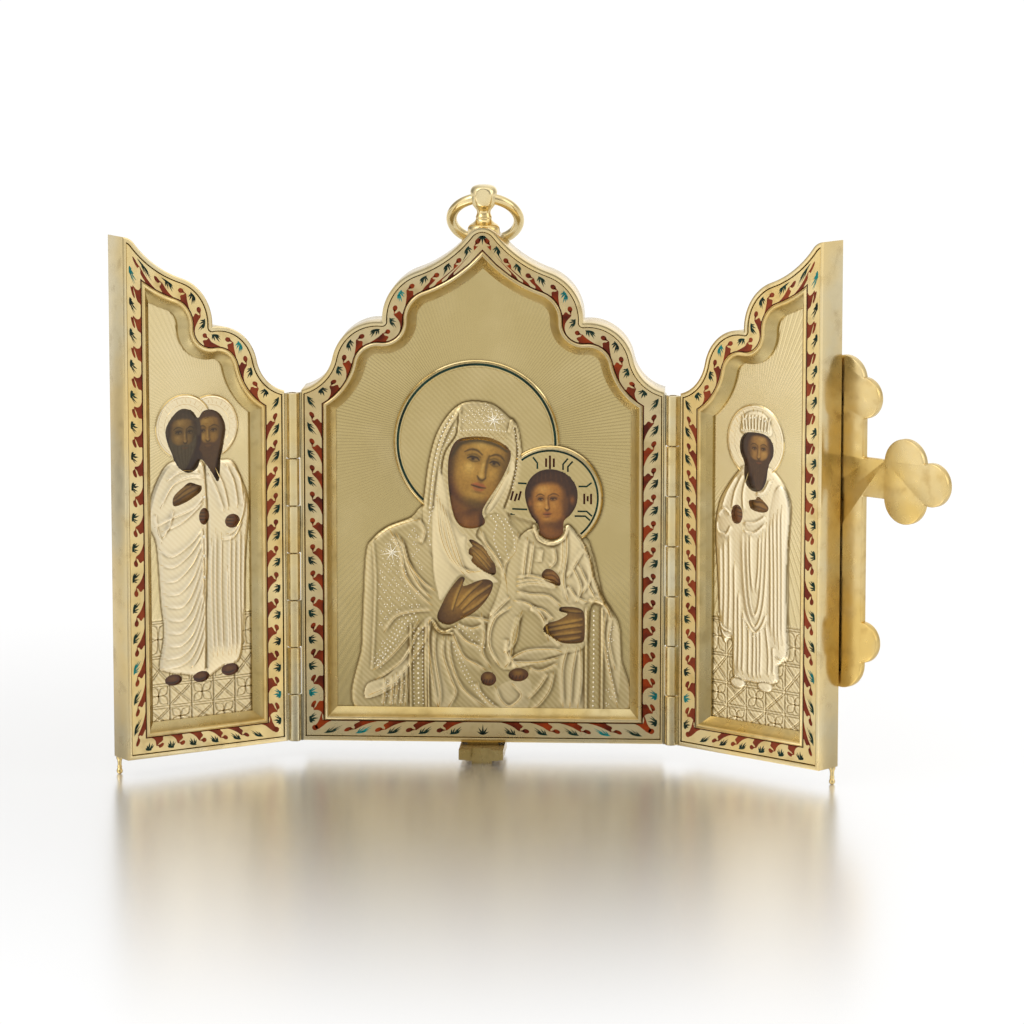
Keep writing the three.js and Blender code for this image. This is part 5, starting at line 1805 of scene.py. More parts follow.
@dataclass
class WingPlate:
    """A saint's plate on a wing, in distances from the closed triptych's centre line.

    Both wings share the tiled floor, the ribbed ground above it and the way the halos are engraved.
    """

    panel: Panel
    finishes: Finishes

    CELL = 0.17
    FLOOR_ROWS = (27.7, 20.4, 14.6, 9.9, 5.4)
    FLOOR_EDGES = (6.2, 31.6)
    TILE = 5.1
    RIBS = 150
    HALOS: ClassVar[tuple[Arc, ...]] = ()

    def holes(self) -> list[Array]:
        """The openings in the plate."""
        raise NotImplementedError

    def figures(self, canvas: Canvas) -> None:
        """Raises the figures."""
        raise NotImplementedError

    def dots(self, trim: Trim) -> None:
        """Beads and wires of the figures."""

    def draw(self, canvas: Canvas) -> None:
        """Raises the ground, the halos and the figures."""
        self.ribs(canvas)
        self.floor(canvas)
        for halo in self.HALOS:
            canvas.halo(halo.x, halo.z, halo.r, 0.15, 0.5, 0.6)
        self.figures(canvas)

    def ribs(self, canvas: Canvas) -> None:
        """Low sun rays about the head."""
        halo = self.HALOS[0]
        angle = np.arctan2(canvas.z - halo.z, canvas.x - halo.x)
        reach = np.hypot(canvas.x - halo.x, canvas.z - halo.z)
        strength = smoothstep(5.0, 14.0, reach) * smoothstep(27.2, 28.6, canvas.z)
        canvas.height += 0.008 * strength * np.sin(angle * self.RIBS)

    def floor(self, canvas: Canvas) -> None:
        """A tiled floor: crossed tiles by turns with four-petalled ones, engraved and stippled."""
        first, last = self.FLOOR_EDGES
        corners = np.array([(first - 1, 4.5), (last + 1, 4.5), (last + 1, 27.7), (first - 1, 27.7)])
        below = smoothstep(-0.1, 0.2, inside_distance(canvas.x, canvas.z, corners))
        canvas.turned *= 1 - below
        canvas.matt += 0.5 * below
        canvas.pale += 0.25 * below
        for row, (high, low) in enumerate(zip(self.FLOOR_ROWS[:-1], self.FLOOR_ROWS[1:])):
            for z in (high, high - 0.5):
                canvas.line([(first, z), (last, z)], -0.13, 0.13, False)
            for column, c in enumerate(np.arange(first, last - self.TILE / 2, self.TILE)):
                end = c + self.TILE
                canvas.line([(c, low), (c, high)], -0.12, 0.12, False)
                middle = ((c + end) / 2, (low + high) / 2 - 0.2)
                if (row + column) % 2:
                    self.crossed_tile(canvas, c, end, low, high)
                else:
                    self.petalled_tile(canvas, middle, (end - c) / 2 - 0.5, (high - low) / 2 - 0.55)

    @staticmethod
    def crossed_tile(canvas: Canvas, left: float, right: float, low: float, high: float) -> None:
        """Two double diagonals."""
        for shift in (-0.28, 0.28):
            start, end = left + 0.3 + shift, right - 0.3 + shift
            canvas.line([(start, low + 0.3), (end, high - 0.7)], -0.11, 0.12, False)
            canvas.line([(start, high - 0.7), (end, low + 0.3)], -0.11, 0.12, False)

    @staticmethod
    def petalled_tile(canvas: Canvas, middle: Point, across: float, up: float) -> None:
        """Four leaves about a point."""
        cx, cz = middle
        for sx, sz in ((1, 1), (-1, 1), (1, -1), (-1, -1)):
            tip = (cx + sx * across, cz + sz * up)
            for bend in (-0.32, 0.32):
                knee = (cx + sx * across * (0.5 + bend), cz + sz * up * (0.5 - bend))
                canvas.line([(cx, cz), knee, tip], -0.1, 0.12)

    def trim(self, plate: Plate) -> None:
        """Short strokes round each halo, and the figures' beads."""
        trim = Trim(plate, self.finishes.bright, self.finishes.bead)
        trim.ridges(0.17, 0.045)
        for number, halo in enumerate(self.HALOS):
            covers = self.HALOS[number + 1 :]
            trim.hoop(halo, halo.r - 0.2, 0.42, 0.1, covers)
            trim.hoop(halo, halo.r - 0.65, 0.16, 0.04, covers)
            trim.hoop(halo, halo.r - 2.1, 0.16, 0.04, covers)
            for step in range(18):
                degrees = -8 + step * 11.5
                if self.hidden(number, halo, degrees):
                    continue
                angle = math.radians(degrees)
                lean = math.radians(degrees + (14, -10, 0, 20)[step % 4])
                x, z = halo.x + (halo.r - 1.75) * math.cos(angle), halo.z + (halo.r - 1.75) * math.sin(angle)
                tall = (0.95, 0.7, 0.95, 0.55)[step % 4]
                trim.wire([(x, z), (x + tall * math.cos(lean), z + tall * math.sin(lean))], 0.2, 0.09, False)
        self.dots(trim)
        trim.build()

    def hidden(self, number: int, halo: Arc, degrees: float) -> bool:
        """Whether another halo lies over this part of one."""
        if number == len(self.HALOS) - 1:
            return False
        cover = self.HALOS[-1]
        x = halo.x + halo.r * math.cos(math.radians(degrees))
        z = halo.z + halo.r * math.sin(math.radians(degrees))
        return math.hypot(x - cover.x, z - cover.z) < cover.r + 0.6

    def build(self) -> None:
        """Makes the plate and what lies on it."""
        halo = self.HALOS[0]
        centre = (float(self.panel.across(halo.x)), halo.z)
        # The wings' gilt, cloth and hollow colours are paler copies of the centre's: painted light on the
        # wings.
        finish = EmbossedGilt(
            f"embossed_{self.panel.name}", centre, 300, 0.004, 0.55, "#DCC998", "#F8EACA", "#7E673A"
        )
        plate = Plate(self.panel, self.CELL, self.holes(), self.draw, finish)
        plate.build()
        self.trim(plate)


@dataclass
class LeftWingPlate(WingPlate):
    """Two saints side by side, the nearer in a wrapped mantle."""

    HALOS = (Arc(21.3, 67.0, 6.6), Arc(15.2, 67.4, 6.7))
    HEADS = [
        (12.6, 69.8), (14.6, 71.1), (17, 70.6), (18.4, 69.0), (19.6, 70.3), (21.6, 70.5), (23.6, 69.4),
        (24.8, 66.8), (24.4, 63.6), (23.6, 60), (22.9, 55.6), (21.6, 57.2), (20, 59.6), (19.0, 60.3),
        (17.8, 58.6), (15.8, 57.9), (13.6, 59.2), (12.4, 61.8), (11.2, 64.6), (10.9, 67.2),
    ]
    HAND = [
        (18.9, 54.9), (17.7, 55.4), (16.1, 55.9), (14.8, 55.2), (12.4, 53.3), (12.4, 51.3), (15, 51.8),
        (17.5, 53), (18.8, 53.9),
    ]

    def holes(self) -> list[Array]:
        """The openings in the plate."""
        return [
            rounded(self.HEADS, 4), rounded(self.HAND, 4), disc(19.5, 48.6, 1.25, 1.75),
            disc(26.1, 47.1, 1.75, 1.45), disc(25.5, 16.0, 2.1, 1.3), disc(18.65, 15.2, 1.85, 1.2),
            disc(12.2, 15.1, 2.0, 1.15),
        ]

    def figures(self, canvas: Canvas) -> None:
        """Raises the farther saint, then the nearer."""
        farther = rounded(
            [(20.5, 60.5), (23.5, 60), (26.5, 59.4), (28.4, 56), (29.8, 52.5), (30.3, 49), (29.9, 45),
             (29.3, 38), (29.0, 30), (28.6, 22), (27.6, 17.8), (24, 16.8), (18.5, 16.5), (18.5, 40)],
        )
        nearer = rounded(
            [(20, 58.6), (18.2, 60.2), (15, 60.6), (11.4, 60), (9, 57), (7.3, 53), (6.5, 48.5), (8.3, 44.6),
             (8.9, 40), (9.4, 32), (10.0, 25), (8.9, 18.4), (10, 17.2), (14, 16.2), (19.6, 16.6), (20.1, 30),
             (20.6, 42), (20.8, 51)],
        )
        canvas.form(farther, 0.5, 1.0, 0.6, 2.4, 0.55, 0.3)
        for c, top in (
            (29, 44), (27.9, 46), (26.7, 44.5), (25.6, 45), (24.9, 38), (23.5, 45), (22.2, 46), (21.2, 44),
        ):
            canvas.fold([(c, top), (c - 0.2, 32), (c + 0.1, 19)], 0.22, 0.24, 0.5)
        canvas.folds([
            [(20.5, 57.6), (22.6, 53.6), (24.2, 49)], [(22.2, 58.6), (24.2, 54), (25.2, 49.4)],
            [(26.4, 58.6), (28.2, 55.4), (28.6, 50)], [(24.6, 59), (26.6, 55), (27.4, 49.6)],
            [(29.2, 53), (28.6, 48.4), (26.6, 45.2), (24.4, 44.4)], [(28.4, 47), (26.4, 43.8), (23.4, 43.6)],
        ], 0.24, 0.24, 0.6)
        canvas.form(nearer, 0.75, 1.0, 0.7, 2.4, 0.6, 0.25)
        canvas.folds([
            [(19.8, 56.4), (16.4, 57), (12.2, 55.6), (9.2, 51)], [(18.6, 57.8), (14.4, 58.4), (10.8, 56.6)],
            [(19.9, 53), (16.6, 50.4), (11.6, 48.8), (7.8, 47.2)], [(19.4, 51.6), (14.6, 48.0), (9.4, 46.2)],
            [(12.2, 50.6), (11.4, 47.4), (9.6, 44.8)], [(18.9, 46), (16.0, 43), (11.8, 41), (8.9, 42.8)],
            [(18.9, 44.8), (16.2, 41.2), (12.4, 38.8), (9.2, 39.4)],
            [(19, 43.4), (16.6, 39), (13, 36), (9.5, 36)],
            [(19.1, 41.8), (16.9, 36.4), (13.6, 33.2), (9.7, 33.4)],
            [(19.2, 40), (17, 33.8), (14.2, 30.4), (9.9, 30.8)],
            [(19.3, 37.8), (17.2, 31.2), (14.3, 27.6), (10, 28.2)],
            [(19.4, 35.4), (17.2, 28.4), (14, 25), (10, 25.4)],
            [(19.5, 32.8), (17.2, 25.6), (14, 22.4), (9.8, 22.6)],
            [(19.6, 30), (17.2, 23.4), (14.2, 20.2), (9.4, 19.8)],
            [(19.6, 27), (17.4, 21.4), (14.6, 18.4), (9.2, 17.7)], [(19.7, 24), (18, 19.8), (16, 17.2)],
            [(19.8, 46), (20.1, 38), (19.7, 30), (19.9, 20)], [(18.9, 47), (19.2, 38), (18.9, 30)],
            [(8.1, 50), (8.6, 46.4), (9.6, 43.8)],
        ], 0.22, 0.24, 0.55)
        canvas.line([(19.9, 59), (20.4, 50), (20.3, 42), (19.9, 30), (19.8, 17)], -0.22, 0.22)

    def dots(self, trim: Trim) -> None:
        """Beads on the collar, and a clasp's knots."""
        trim.row([(18.9, 57.4), (15, 57.2), (12.2, 58)], 0.62, 0.14)
        for place in ((19.5, 52.6), (19.3, 44.4), (19.3, 40.4), (19.3, 36)):
            trim.beads.append((*place, 0.42))


@dataclass
class RightWingPlate(WingPlate):
    """A bishop in a fluted cap and a cape."""

    HALOS = (Arc(19.4, 65.1, 7.6),)
    HEAD = [
        (16.6, 66.7), (19.2, 67.0), (21.9, 66.7), (23.3, 65.2), (23.4, 62.8), (22.3, 60.6), (21.9, 57.2),
        (20.6, 55.4), (19.0, 54.9), (17.3, 55.5), (16.2, 57.4), (15.8, 60.6), (14.7, 62.6), (14.8, 65),
    ]
    HAND = [
        (15.5, 52), (16.8, 53.2), (18.3, 54.0), (19.0, 53.3), (20.7, 52.9), (20.1, 51.3), (18, 50.8),
        (16.1, 51),
    ]

    def holes(self) -> list[Array]:
        """The openings in the plate."""
        return [rounded(self.HEAD, 4), rounded(self.HAND, 4), disc(23.85, 49.75, 1.55, 2.0)]

    def figures(self, canvas: Canvas) -> None:
        """Raises the saint."""
        cap = rounded(
            [(15.6, 66.5), (15.3, 69), (17, 70.9), (19.3, 71.4), (21.8, 70.8), (23.1, 68.8), (22.7, 66.5)],
        )
        canvas.form(cap, 0.55, 0.5, 0.4, 1.2, 0.75, 0.2)
        for c in np.linspace(16.0, 22.4, 9):
            lean = (c - 19.25) * 0.12
            canvas.line([(c, 67.6), (c + lean, 70.4 - abs(lean))], 0.14, 0.17)
        body = rounded(
            [(16.2, 60.2), (14.4, 59.4), (11.6, 56.6), (10, 52.6), (10.6, 45), (10.6, 36), (10.5, 29),
             (10.2, 22), (12.8, 19.6), (13, 16.4), (16, 15.4), (21, 15.3), (24.8, 15.8), (25.3, 23.6),
             (27.3, 22.7), (28.5, 26.5), (29.2, 36), (29.9, 46), (29, 51.5), (27, 55), (24, 58.6), (22, 60)],
        )
        canvas.form(body, 0.7, 1.0, 0.7, 2.6, 0.6, 0.25)
        cape = rounded(
            [(15.6, 50.4), (13.6, 56.2), (11.4, 55.8), (10.3, 51.6), (10.9, 40), (10.8, 29), (10.6, 22.4),
             (12.6, 21), (14.9, 23.4), (15.9, 30), (15.4, 42)],
        )
        canvas.form(cape, 1.2, 0.5, 0.3, 1.4, 0.7, 0.2)
        canvas.folds([
            [(12.0, 53), (11.8, 40), (11.6, 24)], [(13.0, 52), (12.7, 38), (12.5, 23)],
            [(14.1, 51), (13.7, 38), (13.5, 24)], [(15.0, 49.6), (14.7, 38), (14.6, 25.6)],
            [(15.9, 49), (16.1, 38), (16.9, 30.6), (18.8, 27.0), (20.9, 30.6), (21.9, 38), (22.3, 48)],
            [(16.9, 47.6), (17.1, 39), (17.8, 32), (18.9, 29.4), (20.1, 32), (20.8, 39), (21.1, 47)],
            [(17.8, 46), (18.0, 39), (18.6, 34)], [(20.2, 46), (20.0, 39), (19.4, 34)],
            [(15.7, 30.2), (17.0, 27.4), (18.8, 25.8), (20.8, 27.6), (22.4, 30.4)],
            [(17.3, 27.4), (17.2, 22), (17.4, 16.6)], [(18.2, 26.4), (18.1, 21), (18.2, 16.4)],
            [(19.1, 26), (19.1, 21), (19.3, 16.2)], [(20.4, 27), (20.4, 21), (20.5, 16.4)],
            [(22, 29.4), (21.9, 22), (22.1, 16.6)], [(23.2, 34), (23.1, 24), (23.3, 16.8)],
            [(24.4, 40), (24.2, 30), (24.5, 17.4)], [(16, 28), (15.2, 22), (15.3, 17)],
            [(14.1, 23.4), (14.0, 20), (14.1, 17.4)], [(25.8, 46), (25.6, 34), (25.9, 24.6)],
            [(27.2, 44.4), (27.0, 34), (27.3, 25)], [(28.4, 43), (28.2, 35), (28.3, 28)],
            [(22.4, 58.2), (24.4, 54.4), (25.2, 50.6)], [(24.2, 57.6), (26.6, 54), (28, 50.4)],
            [(25.4, 47.4), (26.6, 45.4), (28.8, 45.8), (29.4, 48)],
            [(25.2, 49.4), (27.4, 50.6), (29.2, 48.8)], [(21, 58.6), (22.2, 54.6), (22, 50.4)],
            [(15.2, 57.8), (16.8, 55.2), (19, 54.5)], [(16.1, 50.2), (19, 48.6), (22.2, 48.2)],
            [(16.2, 48.6), (19.2, 46.4), (22.4, 46.6)],
        ], 0.22, 0.24, 0.5)
        for z, reach in ((28.5, 29.1), (27.0, 28.7)):
            canvas.line([(25.6, z - 3.2), (reach - 1.4, z - 2.6), (reach, z)], 0.16, 0.18)
        for c in (16.5, 23.7):
            canvas.form(disc(c, 14.8, 2.0, 1.15), 0.45, 0.5, 0.2, 0.8, 0.6, 0.2)

    def dots(self, trim: Trim) -> None:
        """Beads on the cap's brim, the collar, the hem and the book."""
        trim.row([(15.5, 67.15), (19.2, 67.55), (22.9, 67.15)], 0.55, 0.18)
        for k, c in enumerate(np.linspace(16.6, 21.9, 5)):
            trim.beads.append((c, 69.6 + 0.5 * (1 - abs(k - 2) / 2), 0.26))
        trim.row([(14.4, 58.2), (16, 54.6), (19.2, 53.9)], 0.6, 0.14)
        trim.row([(15.6, 29), (18.8, 24.8), (22.3, 28.8)], 0.62, 0.15)
        trim.row([(10.5, 22.8), (12.8, 20.4)], 0.6, 0.15)
        trim.row([(13.2, 16.5), (16, 15.9), (21, 15.8), (24.6, 16.3)], 0.66, 0.15)


# ---------------------------------------------------------------- paintings


@dataclass
class Paint:
    """Colour laid on many points, wash over wash."""

    x: Array
    z: Array
    ground: str

    def __post_init__(self) -> None:
        """Starts with the ground colour everywhere."""
        self.colour = np.tile(self.rgb(self.ground), (len(self.x), 1))

    @staticmethod
    def rgb(hex_colour: str) -> Array:
        """A hex colour as three values from 0 to 1."""
        return np.array([int(hex_colour[i : i + 2], 16) / 255 for i in (1, 3, 5)])

    def lay(self, share: Array, hex_colour: str) -> None:
        """Covers each point by its share of a colour."""
        self.colour += share[:, None] * (self.rgb(hex_colour) - self.colour)

    def wash(self, outline: Array, colour: str, soft: float = 0.2, strength: float = 1.0) -> None:
        """Fills an outline, with a soft edge."""
        gap = inside_distance(self.x, self.z, outline)
        self.lay(smoothstep(-soft, soft, gap) * strength, colour)

    def stroke(
        self, path: Path, colour: str, width: float = 0.15, strength: float = 1.0, taper: bool = True
    ) -> None:
        """A brush stroke along a path, thinner towards its ends."""
        curve = catmull(path, False, 6)
        gap, along, _ = path_distance(self.x, self.z, curve)
        wide = width * (0.45 + 0.55 * np.sin(np.pi * np.clip(along, 0, 1))) if taper else width
        self.lay(np.exp(-((gap / wide) ** 2)) * strength, colour)

    def spot(
        self, x: float, z: float, rx: float, rz: float, colour: str, strength: float = 1.0, tilt: float = 0.0,
        power: float = 2.0,
    ) -> None:
        """A soft round touch."""
        c, s = math.cos(math.radians(tilt)), math.sin(math.radians(tilt))
        u = ((self.x - x) * c + (self.z - z) * s) / rx
        v = ((self.z - z) * c - (self.x - x) * s) / rz
        self.lay(np.exp(-((u * u + v * v) ** (power / 2))) * strength, colour)


@dataclass(frozen=True)
class SkinTones:
    """The colours of flesh under old varnish."""

    mid: str = "#A0742A"
    light: str = "#C99C46"
    high: str = "#DCB562"
    shade: str = "#584012"
    deep: str = "#30200A"
    lip: str = "#A5542C"


@dataclass
class Head:
    """A calm, plainly proportioned head: brows, nose and chin at equal thirds below the hairline."""

    paint: Paint
    x: float
    z: float
    size: float
    tilt: float
    turn: float
    tones: SkinTones

    def at(self, u: float, v: float) -> Point:
        """From the head's own frame, half a face tall, to the panel's plane."""
        angle = math.radians(self.tilt)
        c, s = math.cos(angle), math.sin(angle)
        return (self.x + self.size * (u * c - v * s), self.z + self.size * (u * s + v * c))

    def path(self, points: Path, side: int = 1) -> list[Point]:
        """The same for a path, mirrored for the left side."""
        return [self.at(self.turn * (1 - abs(u)) + side * u, v) for u, v in points]

    def touch(self, u: float, v: float, ru: float, rv: float, colour: str, strength: float = 1.0) -> None:
        """A soft touch in the head's own frame."""
        x, z = self.at(u, v)
        self.paint.spot(x, z, ru * self.size, rv * self.size, colour, strength, self.tilt)

    def line(self, points: Path, colour: str, width: float, strength: float = 1.0, side: int = 1) -> None:
        """A stroke in the head's own frame."""
        self.paint.stroke(self.path(points, side), colour, width * self.size, strength)

    def face(self, width: float = 0.72) -> None:
        """The face's modelling and features."""
        t = self.tones
        around = np.linspace(0, 2 * math.pi, 40, endpoint=False)
        oval = [
            self.at(width * math.sin(a) * (1 + 0.08 * math.cos(a)), -0.02 + 1.04 * math.cos(a))
            for a in around
        ]
        self.paint.wash(np.array(oval), t.mid, 0.16 * self.size)
        lit = self.turn * 0.6 - 0.12
        self.touch(lit, 0.62, 0.42, 0.3, t.light, 0.75)
        self.touch(lit - 0.22, -0.12, 0.24, 0.28, t.light, 0.8)
        self.touch(lit + 0.42, -0.1, 0.17, 0.24, t.light, 0.5)
        self.touch(lit + 0.08, -0.78, 0.2, 0.14, t.light, 0.6)
        self.touch(lit - 0.1, 0.66, 0.2, 0.14, t.high, 0.5)
        self.touch(lit - 0.24, -0.06, 0.11, 0.12, t.high, 0.45)
        self.touch(width * 0.92, -0.05, 0.2, 0.9, t.shade, 0.85)
        self.touch(-width * 1.0, 0.1, 0.12, 0.9, t.shade, 0.6)
        self.touch(0.1, -1.05, 0.5, 0.16, t.shade, 0.75)
        self.touch(0.0, 1.02, 0.6, 0.14, t.shade, 0.6)
        self.features()

    def features(self) -> None:
        """Brows, eyes, nose and mouth."""
        t, turn = self.tones, self.turn
        for side in (-1, 1):
            eye = turn * 0.7 + side * 0.3
            self.touch(eye, 0.2, 0.22, 0.12, t.shade, 0.65)
            self.line([(0.1, 0.33), (0.26, 0.42), (0.42, 0.41), (0.56, 0.31)], t.deep, 0.032, 0.7, side)
            self.touch(eye, 0.165, 0.1, 0.032, "#B8935A", 0.55)
            self.touch(eye - 0.02, 0.17, 0.05, 0.045, "#1E1006", 0.95)
            self.line([(0.15, 0.16), (0.23, 0.225), (0.36, 0.225), (0.46, 0.15)], t.deep, 0.034, 0.95, side)
            self.line([(0.18, 0.125), (0.3, 0.1), (0.42, 0.13)], t.shade, 0.026, 0.7, side)
            self.line([(0.13, 0.25), (0.29, 0.3), (0.47, 0.23)], t.shade, 0.028, 0.7, side)
            self.touch(eye, 0.27, 0.1, 0.025, t.light, 0.35)
        self.line([(0.09, 0.36), (0.07, 0.1), (0.1, -0.16), (0.13, -0.27)], t.shade, 0.045, 0.75)
        self.touch(turn * 0.9 - 0.02, 0.0, 0.05, 0.26, t.high, 0.6)
        self.touch(turn - 0.01, -0.25, 0.07, 0.06, t.high, 0.55)
        self.line([(-0.11, -0.27), (-0.04, -0.35), (0.05, -0.36), (0.13, -0.28)], t.deep, 0.04, 0.7)
        self.touch(turn, -0.44, 0.06, 0.05, t.shade, 0.4)
        self.line(
            [(-0.19, -0.54), (-0.06, -0.5), (0.0, -0.52), (0.07, -0.5), (0.18, -0.54)], t.lip, 0.06, 0.85,
        )
        self.line([(-0.14, -0.61), (0.0, -0.645), (0.14, -0.61)], t.lip, 0.06, 0.7)
        self.line([(-0.21, -0.55), (-0.05, -0.565), (0.06, -0.565), (0.2, -0.55)], t.deep, 0.03, 0.85)
        self.touch(turn, -0.71, 0.14, 0.04, t.shade, 0.55)

    def beard(self, length: float, width: float, colour: str) -> None:
        """A beard and moustache."""
        t = self.tones
        rows = [
            (-width, 0.0), (-width * 0.95, -0.5), (-width * 0.7, -0.95), (-width * 0.3, -length * 0.9),
            (0, -length), (width * 0.3, -length * 0.9), (width * 0.7, -0.95), (width * 0.95, -0.5),
            (width, 0.0), (width * 0.72, -0.28), (0.24, -0.42), (0, -0.4), (-0.24, -0.42),
            (-width * 0.72, -0.28),
        ]
        self.paint.wash(rounded([self.at(u, v) for u, v in rows], 4), colour, 0.06 * self.size)
        for u in np.linspace(-0.8, 0.8, 7):
            strand = [(u * width, -0.45), (u * width * 0.9, -0.85), (u * width * 0.5, -length * 0.93)]
            self.line(strand, t.shade, 0.035, 0.5)
        self.line([(-0.15, -0.56), (0, -0.58), (0.15, -0.56)], t.lip, 0.05, 0.8)

    def hair(self, colour: str, width: float, top: float, brow: float, down: float) -> None:
        """A cap of hair."""
        rows = [
            (-width, down), (-width * 1.02, 0.5), (-width * 0.75, top * 0.85), (0, top),
            (width * 0.75, top * 0.85), (width * 1.02, 0.5), (width, down), (width * 0.82, down + 0.06),
            (width * 0.8, brow * 0.72), (width * 0.45, brow), (0, brow * 1.06), (-width * 0.45, brow),
            (-width * 0.8, brow * 0.72), (-width * 0.82, down + 0.06),
        ]
        self.paint.wash(rounded([self.at(u, v) for u, v in rows], 4), colour, 0.07 * self.size)
        for u in np.linspace(-0.8, 0.8, 9):
            strand = [(u * width, top * 0.95 - 0.25 * u * u), (u * width * 1.1, brow)]
            self.line(strand, self.tones.shade, 0.04, 0.45)


@dataclass
class PaintedPatches:
    """The painted board where the plate's openings show it."""

    panel: Panel
    holes: list[Array]
    decorate: Callable[[Paint], None]
    finishes: Finishes
    cell: float = 0.12
    margin: float = 0.55
    front: float = 3.19
    back: float = 3.26

    def build(self) -> None:
        """Makes one closed tile of board behind each opening, coloured point by point."""
        vertices, faces, colours, places, start = [], [], [], [], 0
        for hole in self.holes:
            low, high = hole.min(0) - self.margin, hole.max(0) + self.margin
            xs = np.linspace(low[0], high[0], int((high[0] - low[0]) / self.cell) + 2)
            zs = np.linspace(low[1], high[1], int((high[1] - low[1]) / self.cell) + 2)
            grid_x, grid_z = (g.ravel() for g in np.meshgrid(xs, zs))
            paint = Paint(grid_x, grid_z, BOARD_BROWN)
            self.decorate(paint)
            local = self.panel.across(grid_x)
            count = len(grid_x)
            index = start + np.arange(count).reshape(len(zs), len(xs))
            corners = (index[:-1, :-1], index[:-1, 1:], index[1:, 1:], index[1:, :-1])
            faces += np.column_stack([corner.ravel() for corner in corners]).tolist()
            rim = np.concatenate([index[0, :-1], index[:-1, -1], index[-1, :0:-1], index[:0:-1, 0]])
            rear = start + count + np.arange(len(rim))
            for i in range(len(rim)):
                k = (i + 1) % len(rim)
                faces.append([int(rim[k]), int(rim[i]), int(rear[i]), int(rear[k])])
            faces.append(rear[::-1].tolist())
            edge = rim - start
            all_x = np.concatenate([local, local[edge]])
            all_z = np.concatenate([grid_z, grid_z[edge]])
            all_y = np.concatenate([np.full(count, self.front), np.full(len(edge), self.back)])
            vertices.append(self.panel.place(all_x, all_y, all_z))
            places.append(np.column_stack([all_x, all_y, all_z]))
            shown = linear_array(np.clip(np.vstack([paint.colour, paint.colour[edge]]), 0, 1))
            colours.append(np.column_stack([shown, np.ones(len(shown))]))
            start += count + len(edge)
        make_piece(
            f"{self.panel.name}_painted_board", np.vstack(vertices), faces, self.finishes.paint,
            self.panel.body, None,
            {"panel_mm": np.vstack(places), "paint": np.vstack(colours)}, True,
        )


def paint_hand(paint: Paint, outline: Path, fingers: list[Path], tones: SkinTones) -> None:
    """A hand: a warm shape with lit fingers and dark lines between them."""
    shape = rounded(outline, 4)
    middle = shape.mean(0)
    reach = np.hypot(*(shape - middle).T).max()
    paint.wash(middle + (shape - middle) * 1.3, "#5A3A12", 0.3)
    paint.spot(middle[0], middle[1], reach * 0.62, reach * 0.5, tones.mid, 0.9)
    for finger in fingers:
        paint.stroke(finger, tones.light, 0.38, 0.6)
    for finger in fingers:
        shifted = [(x + 0.22, z - 0.42) for x, z in finger]
        paint.stroke(shifted, tones.deep, 0.12, 0.6)


